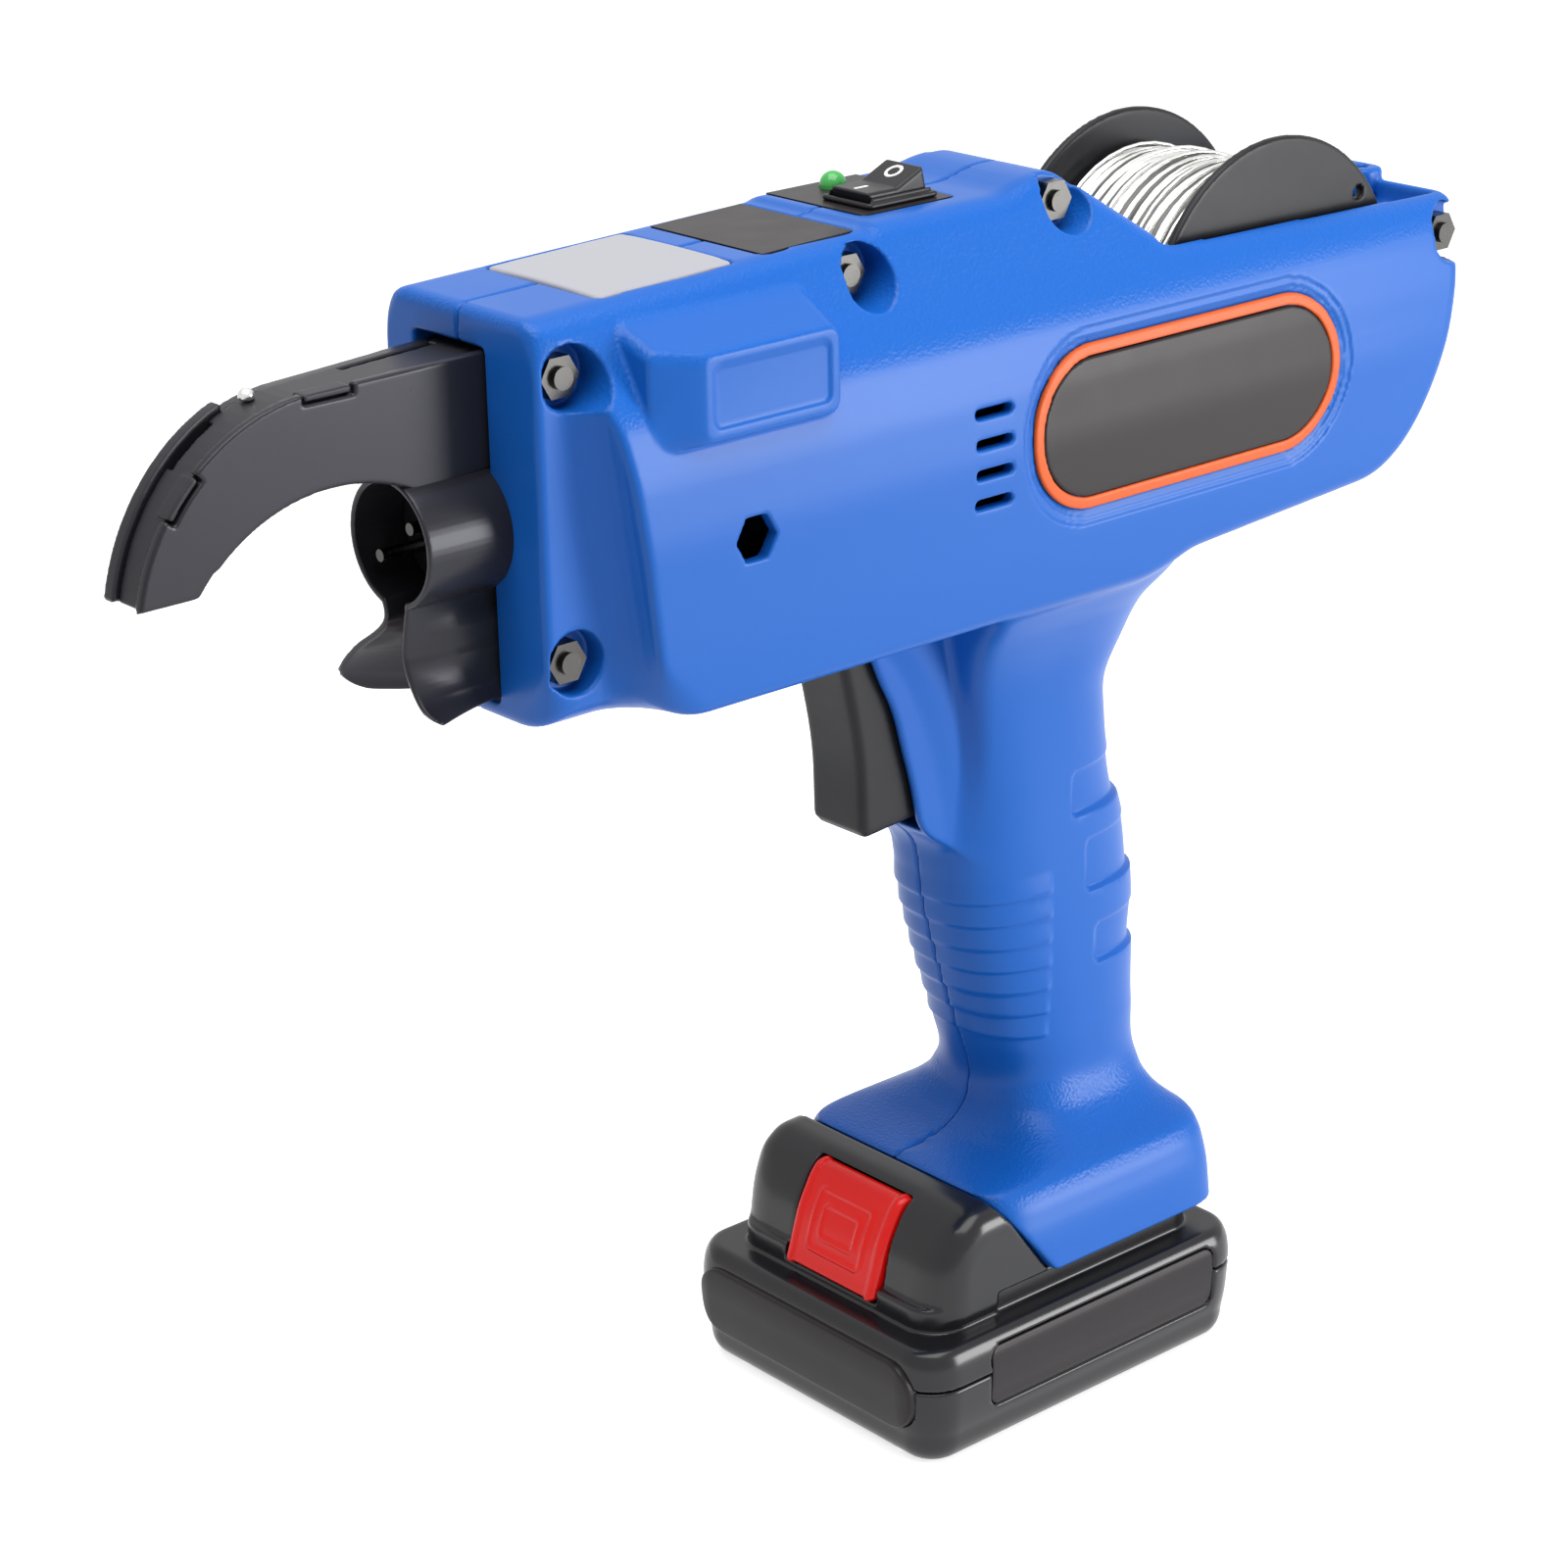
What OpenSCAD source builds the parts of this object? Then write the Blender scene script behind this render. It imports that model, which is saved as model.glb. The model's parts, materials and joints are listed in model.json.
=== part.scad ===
// Cordless rebar tying tool: clamshell housing, curled jaw, wire twister, wire spool, slide-on battery.
// Millimetres. +X runs to the rear, +Y to the user's right, +Z up.
// The origin is the middle of the battery's flat bottom, on which the tool stands.

/* [Body] */
// Origin to the front face
body_front = 115.5; // [110:0.5:125]
// Origin to the rear end
body_rear = 110.2; // [107:0.2:120]
// Height of the body's flat underside
body_z0 = 166.5; // [164:0.5:172]
// Height of the body from underside to the ridge
body_h = 79.5; // [78:0.5:84]
// Half width of the body at its widest
body_half_w = 32.5; // [31.5:0.5:36]
// Housing wall
wall = 2.8; // [2:0.1:3.4]
// Drop of the top at the front face below the ridge
front_drop = 6.2; // [5:0.1:8]
// Drop of the switch deck below the ridge
deck_drop = 2.8; // [2:0.1:4]

/* [Grip] */
// Height of the foot's lower edge
foot_z = 30.3; // [28:0.1:31]
// Half width of the foot at its lower edge
foot_half_w = 32.8; // [31:0.2:35]
// Reach of the grip's back from the origin
grip_reach = 40.5; // [39.5:0.5:44]
// Trigger half width
trigger_half_w = 7.5; // [6:0.25:9]
// Trigger travel
trigger_travel = 6; // [3:0.5:7]

/* [Spool] */
// Spool flange radius
spool_r = 34; // [30:0.25:34.4]
// Half width over the flanges
spool_half_w = 21.2; // [18:0.2:22]
// Flange thickness
flange_t = 2; // [1.5:0.1:3]
// Hub radius under the wire
hub_r = 12; // [10:0.5:15]
// Spool axle radius
axle_r = 6.8; // [5:0.2:8]
// Radius to the middle of the outer layer of wire
wire_layer_r = 26; // [20:0.5:30]
// Drawn radius of one wire of the outer layer
wire_turn_r = 0.5; // [0.4:0.05:0.55]
// Loops of wire in the outer layer
wire_loops = 24; // [12:1:24]

/* [Jaw] */
// Reach of the jaw tip in front of the front face
jaw_reach = 68; // [60:0.5:75]
// Radius of the throat
throat_r = 34.5; // [30:0.5:38]
// Radius of the jaw's outer bend
bend_r = 37; // [36:0.25:40]
// Side plate thickness
near_plate_t = 2.1; // [1.5:0.1:3]
// Far side plate thickness
far_plate_t = 3.2; // [2:0.1:4]
// Taper of the jaw towards its tip, degrees
jaw_taper = 6.4; // [4:0.2:8]
// Lower guide tube, outer radius
guide_r = 11.6; // [11:0.1:12.5]
// Lower guide sheet thickness
guide_t = 1.2; // [0.8:0.1:1.6]
// Length of the guide tube in front of the front face
guide_len = 17.5; // [14:0.5:22]

/* [Twister] */
// Shaft radius
shaft_r = 4; // [3:0.25:5]
// Bearing outer radius
bearing_r = 8; // [7:0.25:8.75]
// Gear module
gear_module = 1; // [0.9:0.05:1.05]
// Teeth of the shaft gear
gear_teeth = 18; // [16:1:18]
// Teeth of the motor pinion
pinion_teeth = 12; // [12:1:14]
// Twist motor radius
motor_r = 14; // [11:0.5:15]
// Twist motor length
motor_len = 46; // [30:1:55]

/* [Battery] */
// Half length of the flat bottom
base_half_l = 40.1; // [38:0.1:42]
// Half width of the flat bottom
base_half_w = 32.3; // [31:0.1:34]
// Belt reach to the front
belt_front = 43.4; // [42:0.1:46]
// Belt reach to the rear
belt_rear = 45.7; // [44:0.1:48]
// Belt half width
belt_half_w = 36.7; // [35.5:0.1:39]
// Height of the parting line
belt_z = 17; // [15:0.5:18]
// Cell radius
cell_r = 9.2; // [8:0.1:9.3]
// Cell length
cell_len = 65; // [50:1:66]
// Latch travel
latch_travel = 2.5; // [1:0.25:2.5]

/* [Hidden] */
$fn = 32;
// Sides of the round cuts in the housing shells
shell_fn = 16;
// Overrun of every cut past the face that it opens
over = 1;
// Clearance between pieces that move past each other
gap = 0.4;
// Clearance between pieces that are seated on each other
seat = 0.1;
// Radial clearance of bearings, shafts and bores
fit = 0.02;
// Reach of the half-space blocks that split the housing
half_space = 400;

// Ends of the body along X, its length and the top line
body_x0 = -body_front;
body_len = body_front + body_rear;
body_top = body_z0 + body_h;
front_top = body_top - front_drop;
deck_z = body_top - deck_drop;

// Body section from the underside to the ridge, as shares of half width and height
section_shares = [[0.815, 0], [0.877, 0.021], [0.942, 0.145], [0.985, 0.296], [1, 0.421], [0.985, 0.572],
  [0.923, 0.698], [0.775, 0.792], [0.594, 0.922], [0.486, 1]];

// Nose: flat cheeks that hold the front screws, and the flare behind them
nose_half_w = 21.5;
nose_len = 11;
flare_len = 9.5;
nose_top_share = 0.8616;
nose_top = body_z0 + nose_top_share * body_h;
nose_chamfer = 3;
// Points of the concave flare, as shares of its length and of its width
flare_shares = [[0.45, 0.2], [0.8, 0.55]];

// Ridge, slanted front of the spool bay and rim of the bay
ridge_x = 4;
ridge_len = 5.5;
ridge_run = 8;
deck_front = -36;
deck_step = 0.8;
rim_x = 31.5;
rim_front_share = 0.7925;
rim_rear_share = 0.7585;
rim_front_z = body_z0 + rim_front_share * body_h;
rim_rear_z = body_z0 + rim_rear_share * body_h;
rim_rear_inset = 1.7;
// Tail: underside behind the grip and the round of the rear end
tail_x = 33.6;
tail_lift = 3.9;
tail_z = body_z0 + tail_lift;
round_x = 79.5;
round_lift = 7.1;
round_z = body_z0 + round_lift;
rear_share = 0.668;
rear_z = body_z0 + rear_share * body_h;
belly_end = 20;
tail_power = 1.7;
tail_steps = 10;

// Spool axis and its bay
spool_x = 64.25;
bay_gap = 1.2;
bay_r = spool_r + bay_gap;
bay_floor = 8.3;
spool_z = body_z0 + bay_floor + bay_r;
bay_half_w = spool_half_w + 2 * bay_gap;
axle_seat = 1.2;
bay_wall_x = spool_x - bay_r - 2 * wall;

// Twist axis, which the guide tube shares
axis_y = -1.8;
axis_lift = 35.5;
axis_z = body_z0 + axis_lift;
gear_w = 6;
pitch_gear = gear_module * gear_teeth / 2;
pitch_pinion = gear_module * pinion_teeth / 2;
motor_z = axis_z - pitch_gear - pitch_pinion;

// Drive frame: two plates and two cheeks
frame_inset = 7.5;
frame_x = body_x0 + frame_inset;
frame_len = 22;
plate_t = 5;
frame_half_w = 14;
frame_lift = 3.5;
frame_z0 = body_z0 + wall + frame_lift;
frame_top = axis_z + guide_r - over;
bearing_w = plate_t;

// Jaw: near face, width at the housing, root and bends
near_y = -6.8;
jaw_w = 18.8;
jaw_root = 27.5;
jaw_top_share = 0.834;
jaw_top = body_z0 + jaw_top_share * body_h;
jaw_slope = 2;
tip_lift = 0.7;
jaw_tip_z = axis_z + tip_lift;
tip_w = 10.3;
jaw_sole = axis_z + guide_r + seat;
groove_w = 2;
groove_d = 3;
core_inset = 1;
tip_x = body_x0 - jaw_reach;
bend_shift_x = 2;
bend_shift_z = 1.5;
bend_x = tip_x + bend_r - bend_shift_x;
bend_z = jaw_top - jaw_slope - bend_r + bend_shift_z;
throat_reach_share = 0.78;
throat_drop_share = 0.626;
throat_x = tip_x + tip_w + throat_r * throat_reach_share;
throat_z = jaw_tip_z - throat_r * throat_drop_share;
arc_steps = 12;

// Front mouth of the housing
mouth_near = 7.1;
mouth_far = 12.8;
mouth_lift = 4;
mouth_gap = 0.5;
mouth_z0 = body_z0 + mouth_lift;
mouth_z1 = jaw_top + mouth_gap;

// Lips of the lower guide, as shares of the lip length
lip_len = 30;
near_lip_shares = [[-0.107, -0.345], [-0.077, -0.587], [-0.113, -0.797], [-0.24, -0.927], [-0.373, -1]];
far_lip_shares = [[0.107, -0.345], [0.1, -0.533], [0.25, -0.69], [0.643, -0.933]];
neck_half = 3.2;

// Twister
head_len = 6;
head_gap = 1;
pin_r = 1.1;
pin_ring_r = 5.65;
pin_angle = -36;
pin_back = 1.2;

// Feed
wire_y = 2.7;
wire_drop = 8.3;
wire_z = jaw_top - wire_drop;
wire_r = 0.4;
feed_x = -72;
feed_r = 7;
press_r = 5;
roller_w = 5;
feed_shaft_r = 1.5;
feed_motor_r = 10;
feed_motor_len = 13;
bracket_t = 2.5;
bracket_gap = 1;
bracket_y = wire_y + roller_w / 2 + bracket_gap;
bracket_half_l = 14;
bracket_lift = 3;
bracket_rise = 9.5;
bracket_z0 = axis_z + bracket_lift;
bracket_z1 = wire_z + bracket_rise;
tube_r = 2.2;
tube_bore = 1;
clamp_len = 6;
clamp_half = 4.2;

// Case screws: shares along the body, shares of its height, and where each nut sits
screw_shares = [[0.0266, 0.796], [0.023, 0.17], [0.322, 0.863], [0.549, 0.926], [0.976, 0.673]];
nut_seat_shares = [0.523, 0.523, 0.431, 0.431, 0.769];
nut_seats = [for (s = nut_seat_shares) s * body_half_w];
screw_r = 2;
boss_r = 4.8;
nut_flat = 7;
nut_t = 3.2;
screw_end = 1;
pocket_r = 5.2;
pocket_slot = 3.5;

// Inner ends and roots of the screw bosses on the left, and their inner ends on the right
boss_ends = [mouth_near, frame_half_w - axis_y + gap, -over, -over];
far_boss_ends = [mouth_far + 2 * seat, frame_half_w - axis_y + gap, -over, -over];
nose_boss = nose_half_w - wall / 2;
boss_roots = [nose_boss, nose_boss, nut_seats[2] + wall / 2, nut_seats[3] + wall / 2];

// Raised cover on the left side, hex access hole and vents
cover_x0 = -90.9;
cover_x1 = -59.5;
cover_low_share = 0.629;
cover_high_share = 0.83;
cover_z0 = body_z0 + cover_low_share * body_h;
cover_z1 = body_z0 + cover_high_share * body_h;
cover_stand = 1.5;
cover_y = body_half_w + cover_stand;
cover_root = 22;
cover_round = 3;
hex_x = -78.5;
hex_share = 0.3937;
hex_z = body_z0 + hex_share * body_h;
hex_flat = 6.8;
vent_x0 = -26;
vent_x1 = -16.8;
vent_h = 2.2;
vent_share = 0.322;
vent_z = body_z0 + vent_share * body_h;
vent_pitch = 5.6;
vent_count = 4;

// Badge: a stadium plate in an orange border, let into the side
badge_x0 = -11.2;
badge_x1 = 71.3;
badge_share = 0.434;
badge_z = body_z0 + badge_share * body_h;
badge_r = 15.6;
badge_sink = 1.1;
badge_floor = body_half_w - badge_sink;
badge_t = 1;
border_w = 2.2;

// Top furniture
window_x0 = -97.5;
window_x1 = -67.5;
window_share = 0.48;
window_half_w = window_share * body_half_w;
window_t = 1.6;
label_x0 = -60.9;
label_x1 = -39.9;
label_share = 0.468;
label_half_w = label_share * body_half_w;
label_t = 0.6;
panel_x0 = -33.5;
panel_x1 = -11.5;
panel_y0 = -11;
panel_y1 = 15.5;
panel_t = 0.8;
lamp_x = -21.6;
lamp_y = 10.5;
lamp_r = 2.5;
lamp_len = 6;
top_slope = (deck_z - deck_step - front_top) / (deck_front - body_x0);
bezel_x = -22;
bezel_y = -2.7;
bezel_half_l = 8.5;
bezel_half_w = 6.7;
bezel_t = 2;
bezel_lip = 1;
bezel_depth = 12;
rocker_half_l = 6.9;
rocker_half_w = 5.1;
rocker_tilt = 12;
rocker_rise = 3.2;
rocker_dip = 1.7;
rocker_root = 2;
rocker_pivot = 1;
pivot_r = 0.6;
pivot_reach = 0.9;
well_depth = 7;

// Grip rings: height share, front share, rear share, half width share, squareness
grip_sink = 5.5;
grip_h = body_z0 + grip_sink - foot_z;
grip_rings_share = [[0, -0.472, 1, 1, 9], [0.097, -0.472, 1.007, 0.909, 8],
  [0.131, -0.472, 1.007, 0.848, 7], [0.15, -0.321, 1.002, 0.762, 5.5], [0.171, -0.123, 0.993, 0.625, 4],
  [0.199, 0.012, 0.988, 0.537, 3],
  [0.287, -0.057, 0.988, 0.512, 2.6], [0.386, -0.175, 0.993, 0.518, 2.6], [0.505, -0.284, 0.978, 0.518, 2.6],
  [0.584, -0.321, 0.914, 0.512, 2.6], [0.661, -0.309, 0.825, 0.506, 2.6], [0.732, -0.358, 0.78, 0.512, 2.7],
  [0.795, -0.42, 0.77, 0.53, 2.8], [0.852, -0.506, 0.854, 0.579, 3], [0.908, -0.63, 0.963, 0.686, 3.2],
  [0.972, -0.889, 1.136, 0.854, 4], [1, -0.938, 1.185, 0.869, 4]];
ring_sides = 24;
// Foot front: the sloped edge that meets the battery
foot_tip_x = -19.1;
foot_tip_z = 48.8;
foot_toe_x = -5.1;

// Trigger
trigger_z0 = 122;
trigger_z1 = 164;
trigger_front_top = -38.5;
trigger_front_low = -30.3;
trigger_hollow = 2;
trigger_back = -13;
trigger_steps = 8;
switch_x0 = -4;
switch_x1 = 20;
switch_half_w = 7.5;
switch_z0 = 128;
switch_z1 = 156;
rib_w = 4;
// Reach of the switch ribs and the battery rails into the wall, as shares of the foot's half width
switch_rib_share = 0.45;
rail_share = 0.9;
block_rib_share = 0.8;
spring_r = 3.2;
spring_wire_r = 0.4;
spring_turns = 6;
spring_rings = 8;
trigger_spring_z = 142;

// Handle screws from the right side: places as shares of the grip's reach and height
handle_screw_shares = [[0.346, 0.266], [0.444, 0.612]];
handle_places = [for (s = handle_screw_shares) [s[0] * grip_reach, 0, foot_z + s[1] * grip_h]];
handle_screw_r = 1.5;
handle_boss_r = 4;
handle_head_r = 2.8;
handle_head_t = 2;
handle_head_y = 13.2;
handle_tip_y = -9;
handle_boss_y = 14.8;

// Control board in the body
board_x0 = -36;
board_x1 = 12;
board_lift = 11.5;
board_h = 34;
board_z0 = body_z0 + board_lift;
board_z1 = board_z0 + board_h;
board_y = 17.6;
board_t = 1.6;
post_r = 2.2;
post_inset = 4;
post_root_share = 0.8;
post_end = body_half_w - post_root_share * wall;

// Battery
deck_gap = 0.3;
battery_deck = foot_z - deck_gap;
belt_low_z = 7;
belt_low_inset = 1.1;
belt_up_z = 23;
belt_up_inset = 0.5;
shoulder_z = 28;
shoulder_inset = 3.1;
deck_inset = 5.7;
belt_corner_r = 9;
case_wall = 2.5;
hump_half_w = 28;
hump_corner_r = 9;
hump_front = 36.5;
hump_root_z = 26;
hump_shares = [[1, 0], [0.97, 0.135], [0.893, 0.54], [0.784, 0.855], [0.658, 0.99], [0.537, 1]];
hump_h = 22.3;
tower_x0 = -4.6;
tower_x1 = 30;
tower_half_w = 22;
tower_h = 12;
rail_z0 = 3.2;
rail_h = 4;
rail_depth = 3;
slot_len = 11;
slot_w = 2;
slot_h = 8;
slot_z0 = 3.2;
blade_pitch = 9;
blade_y = [-blade_pitch, 0, blade_pitch];
blade_t = 0.8;
blade_h = 6;
block_t = 6.5;
block_half_w = 15;
block_h = 12;
contact_t = 0.3;
cell_pitch = 19.4;
cell_z = 13.2;
holder_t = 5;
holder_x = 24;
holder_margin = 0.3;
holder_share = 0.7;
pcb_t = 1.5;
pcb_half_l = 29;
pcb_half_w = 26;
screw_x = 36.4;
screw_y = 23.5;
batt_screw_r = 1.5;
batt_boss_r = 3.2;
batt_head_r = 2.6;
batt_head_t = 1.6;
latch_half_w = 13.1;
latch_shares = [[1, 0.036], [0.985, 0.157], [0.909, 0.552], [0.807, 0.861], [0.751, 0.924], [0.751, 0.789],
  [0.82, 0.538], [0.885, 0.179], [0.896, 0.036]];
latch_out = 0.8;
pocket_back = 21.5;
pocket_roof_back = 24.3;
pocket_roof_z = 44;
latch_spring_r = 2.6;
latch_spring_z = 35;
latch_spring_turns = 5;
front_plate_half_w = 31;
front_plate_z0 = 8;
front_plate_z1 = 20.5;
front_plate_t = 1.2;
side_label_x0 = -26.2;
side_label_x1 = 36.2;
side_label_z0 = 9.3;
side_label_z1 = 22.4;
side_label_t = 1;

// Colours as the object shows them
blue = [0.13, 0.33, 0.72];
black_steel = [0.22, 0.22, 0.24];
black = [0.08, 0.08, 0.09];
steel = [0.72, 0.72, 0.74];
red = [0.8, 0.08, 0.05];
orange = [0.9, 0.36, 0.12];
green = [0.05, 0.5, 0.25];
copper = [0.75, 0.5, 0.3];
board_green = [0.1, 0.35, 0.2];
grey = [0.72, 0.73, 0.76];

// Round bars along each axis
module rod_x(x0, x1, r) {
  translate([x0, 0, 0]) rotate([0, 90, 0]) cylinder(h = x1 - x0, r = r);
}
module rod_y(y0, y1, r) {
  translate([0, y0, 0]) rotate([-90, 0, 0]) cylinder(h = y1 - y0, r = r);
}
module rod_z(z0, z1, r) {
  translate([0, 0, z0]) cylinder(h = z1 - z0, r = r);
}
// Box between two corners
module block(lo, hi) {
  translate(lo) cube(hi - lo);
}
// An XZ outline drawn out across Y, and a YZ outline drawn out along X
module across(y0, y1) {
  translate([0, y1, 0]) rotate([90, 0, 0]) linear_extrude(y1 - y0) children();
}
module along(x0, x1) {
  translate([x0, 0, 0]) rotate([90, 0, 90]) linear_extrude(x1 - x0) children();
}
module mirrored_pair() {
  children();
  mirror([0, 1, 0]) children();
}
// Rectangle with round corners, of plain squares and circles
module round_rect(x0, y0, x1, y1, r) {
  translate([x0 + r, y0]) square([x1 - x0 - 2 * r, y1 - y0]);
  translate([x0, y0 + r]) square([x1 - x0, y1 - y0 - 2 * r]);
  for (x = [x0 + r, x1 - r], y = [y0 + r, y1 - r]) translate([x, y]) circle(r);
}
// Stadium outline with its axis along the first coordinate
module stadium(x0, x1, z, r) {
  translate([x0 + r, z - r]) square([x1 - x0 - 2 * r, 2 * r]);
  for (x = [x0 + r, x1 - r]) translate([x, z]) circle(r);
}

// A closed skin over rings of equally many points
module loft(rings) {
  n = len(rings[0]);
  m = len(rings);
  points = [for (ring = rings, p = ring) p];
  sides = [for (i = [0 : m - 2], j = [0 : n - 1], f = [
    [i * n + j, (i + 1) * n + j, (i + 1) * n + (j + 1) % n],
    [i * n + j, (i + 1) * n + (j + 1) % n, i * n + (j + 1) % n]]) f];
  low = [[for (j = [0 : n - 1]) j]];
  high = [[for (j = [n - 1 : -1 : 0]) (m - 1) * n + j]];
  polyhedron(points, concat(sides, low, high));
}

// Screw places on the body
function body_x(s) = body_x0 + s * body_len;
function body_z(s) = body_z0 + s * body_h;
screws = [for (s = screw_shares) [body_x(s[0]), body_z(s[1])]];

// Body outlines; inset shrinks the section for the cavity
module body_section(inset) {
  half = [for (s = section_shares)
    [s[0] * (body_half_w - inset), body_z0 + inset + s[1] * (body_h - 2 * inset)]];
  other = [for (i = [len(half) - 1 : -1 : 0]) [-half[i][0], half[i][1]]];
  polygon(concat(half, other));
}
function tail_point(t) = [round_x + (body_rear - round_x) * pow(sin(t), 2 / tail_power),
  rear_z - (rear_z - round_z) * pow(cos(t), 2 / tail_power)];
module body_profile() {
  tail = [for (i = [0 : tail_steps]) tail_point(90 * i / tail_steps)];
  polygon(concat(
    [[body_x0, body_z0 + nose_chamfer], [body_x0 + nose_chamfer, body_z0], [belly_end, body_z0],
      [tail_x, tail_z]],
    tail,
    [[body_rear - rim_rear_inset, rim_rear_z], [rim_x, rim_front_z], [ridge_x + ridge_len, body_top],
      [ridge_x, body_top], [ridge_x - ridge_run, deck_z], [deck_front, deck_z],
      [deck_front - 2 * deck_step, deck_z - deck_step], [body_x0, front_top]]));
}
module nose_scoop() {
  x1 = body_x0 + nose_len;
  x2 = x1 + flare_len;
  y2 = body_half_w + over;
  flare = [for (s = flare_shares) [x1 + s[0] * flare_len, nose_half_w + s[1] * (y2 - nose_half_w)]];
  translate([0, 0, body_z0 - over]) linear_extrude(nose_top - body_z0 + over)
    polygon(concat([[body_x0 - over, nose_half_w], [x1, nose_half_w]], flare,
      [[x2, y2], [body_x0 - over, y2]]));
}
module body_outer() {
  difference() {
    intersection() {
      along(body_x0, body_rear) body_section(0);
      across(-body_half_w, body_half_w) body_profile();
    }
    mirrored_pair() nose_scoop();
  }
}
module body_cavity() {
  flare_end = body_x0 + nose_len + flare_len;
  intersection() {
    along(flare_end, bay_wall_x) body_section(wall);
    across(-body_half_w, body_half_w) polygon([[body_x0, body_z0 + wall], [bay_wall_x, body_z0 + wall],
      [bay_wall_x, deck_z - wall], [body_x0, front_top - wall]]);
  }
  block([body_x0 + wall, -nose_half_w + wall, body_z0 + wall],
    [flare_end + over, nose_half_w - wall, nose_top]);
}
module spool_bay() {
  translate([spool_x, 0, spool_z]) {
    rod_y(-bay_half_w, bay_half_w, bay_r);
    block([-bay_r, -bay_half_w, 0], [bay_r, bay_half_w, body_h]);
    rod_y(-bay_half_w - axle_seat, bay_half_w + axle_seat, axle_r + fit);
  }
}

// Grip: handle and foot in one skin
function grip_ring(s, inset, drop) =
  let (x0 = s[1] * grip_reach + inset, x1 = s[2] * grip_reach - inset, w = s[3] * foot_half_w - inset,
    c = (x0 + x1) / 2, a = (x1 - x0) / 2, z = foot_z + s[0] * grip_h - drop)
  [for (i = [0 : ring_sides - 1]) let (t = 360 * i / ring_sides, u = cos(t), v = sin(t))
    [c + a * sign(u) * pow(abs(u), 2 / s[4]), w * sign(v) * pow(abs(v), 2 / s[4]), z]];
module grip_skin(inset, drop) {
  loft([for (i = [0 : len(grip_rings_share) - 1])
    grip_ring(grip_rings_share[i], inset, i == 0 ? drop : 0)]);
}
module foot_front_cut() {
  slope = (foot_tip_z - foot_z) / (foot_toe_x - foot_tip_x);
  across(-foot_half_w - over, foot_half_w + over)
    polygon([[foot_tip_x - over, foot_tip_z + over * slope], [foot_toe_x + over, foot_z - over * slope],
      [foot_tip_x - 4 * over, foot_z - over * slope], [foot_tip_x - 4 * over, foot_tip_z + over * slope]]);
}
module trigger_slot() {
  block([trigger_front_top - over, -trigger_half_w - gap, trigger_z0 - gap],
    [switch_x0, trigger_half_w + gap, trigger_z1 + gap]);
}

// Whole outside of the housing, before it is hollowed and split
module housing_outer() {
  body_outer();
  difference() {
    grip_skin(0, 0);
    foot_front_cut();
  }
}
module hollow() {
  body_cavity();
  spool_bay();
  grip_skin(wall, over);
  trigger_slot();
}
// Seats that stand inside the housing: screw bosses, switch ribs, battery rails and terminal ribs
module inner_seats(side) {
  for (i = [0 : 3]) translate([screws[i][0], 0, screws[i][1]])
    rod_y(side < 0 ? boss_ends[i] : far_boss_ends[i], boss_roots[i], boss_r);
  translate([screws[2][0], 0, screws[2][1]])
    block([-wall / 2, -over, 0], [wall / 2, nut_seats[2], deck_z - wall / 2 - screws[2][1]]);
  for (i = [0, 1]) translate(handle_places[i])
    block([-handle_boss_r, -over, -handle_boss_r], [handle_boss_r, handle_boss_y, handle_boss_r]);
  for (z = [switch_z0 + rib_w / 2, switch_z0 + 3 * rib_w])
    block([switch_x0 + rib_w, switch_half_w + seat, z],
      [switch_x1 - 2 * rib_w, switch_rib_share * foot_half_w, z + rib_w]);
  block([tower_x0 + rib_w, tower_half_w - rail_depth + gap, battery_deck + rail_z0 + gap],
    [tower_x1, rail_share * foot_half_w, battery_deck + rail_z0 + rail_h - gap]);
  block([tower_x1 + gap, block_half_w + seat, battery_deck + rail_z0],
    [tower_x1 + gap + block_t, block_rib_share * foot_half_w, battery_deck + rail_z0 + 2 * rail_h]);
}
module board_posts() {
  for (x = [board_x0 + post_inset, board_x1 - post_inset])
    for (z = [board_z0 + post_inset, board_z1 - post_inset])
      translate([x, 0, z]) rod_y(board_y, post_end, post_r);
}
// Holes and pockets on one side, drawn on +Y
module side_cuts(side) {
  for (i = [0 : len(screws) - 1]) translate([screws[i][0], 0, screws[i][1]]) {
    rod_y(-over, body_half_w, screw_r + seat);
    rod_y(nut_seats[i], body_half_w + 2 * over, pocket_r);
    if (i > 1) translate([pocket_slot, 0, -pocket_slot / 2])
      rod_y(nut_seats[i] + nut_t, body_half_w + 2 * over, pocket_r);
  }
  for (i = [0 : vent_count - 1]) across(nose_half_w, body_half_w + over)
    stadium(vent_x0, vent_x1, vent_z + i * vent_pitch, vent_h / 2);
  across(badge_floor, body_half_w + over)
    stadium(badge_x0 - seat, badge_x1 + seat, badge_z, badge_r + seat);
  for (i = [0, 1]) translate(handle_places[i]) {
    rod_y(-over, side < 0 ? over - handle_tip_y : foot_half_w, handle_screw_r + seat);
    if (side > 0) rod_y(handle_head_y, foot_half_w, handle_head_r + gap);
  }
}
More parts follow.
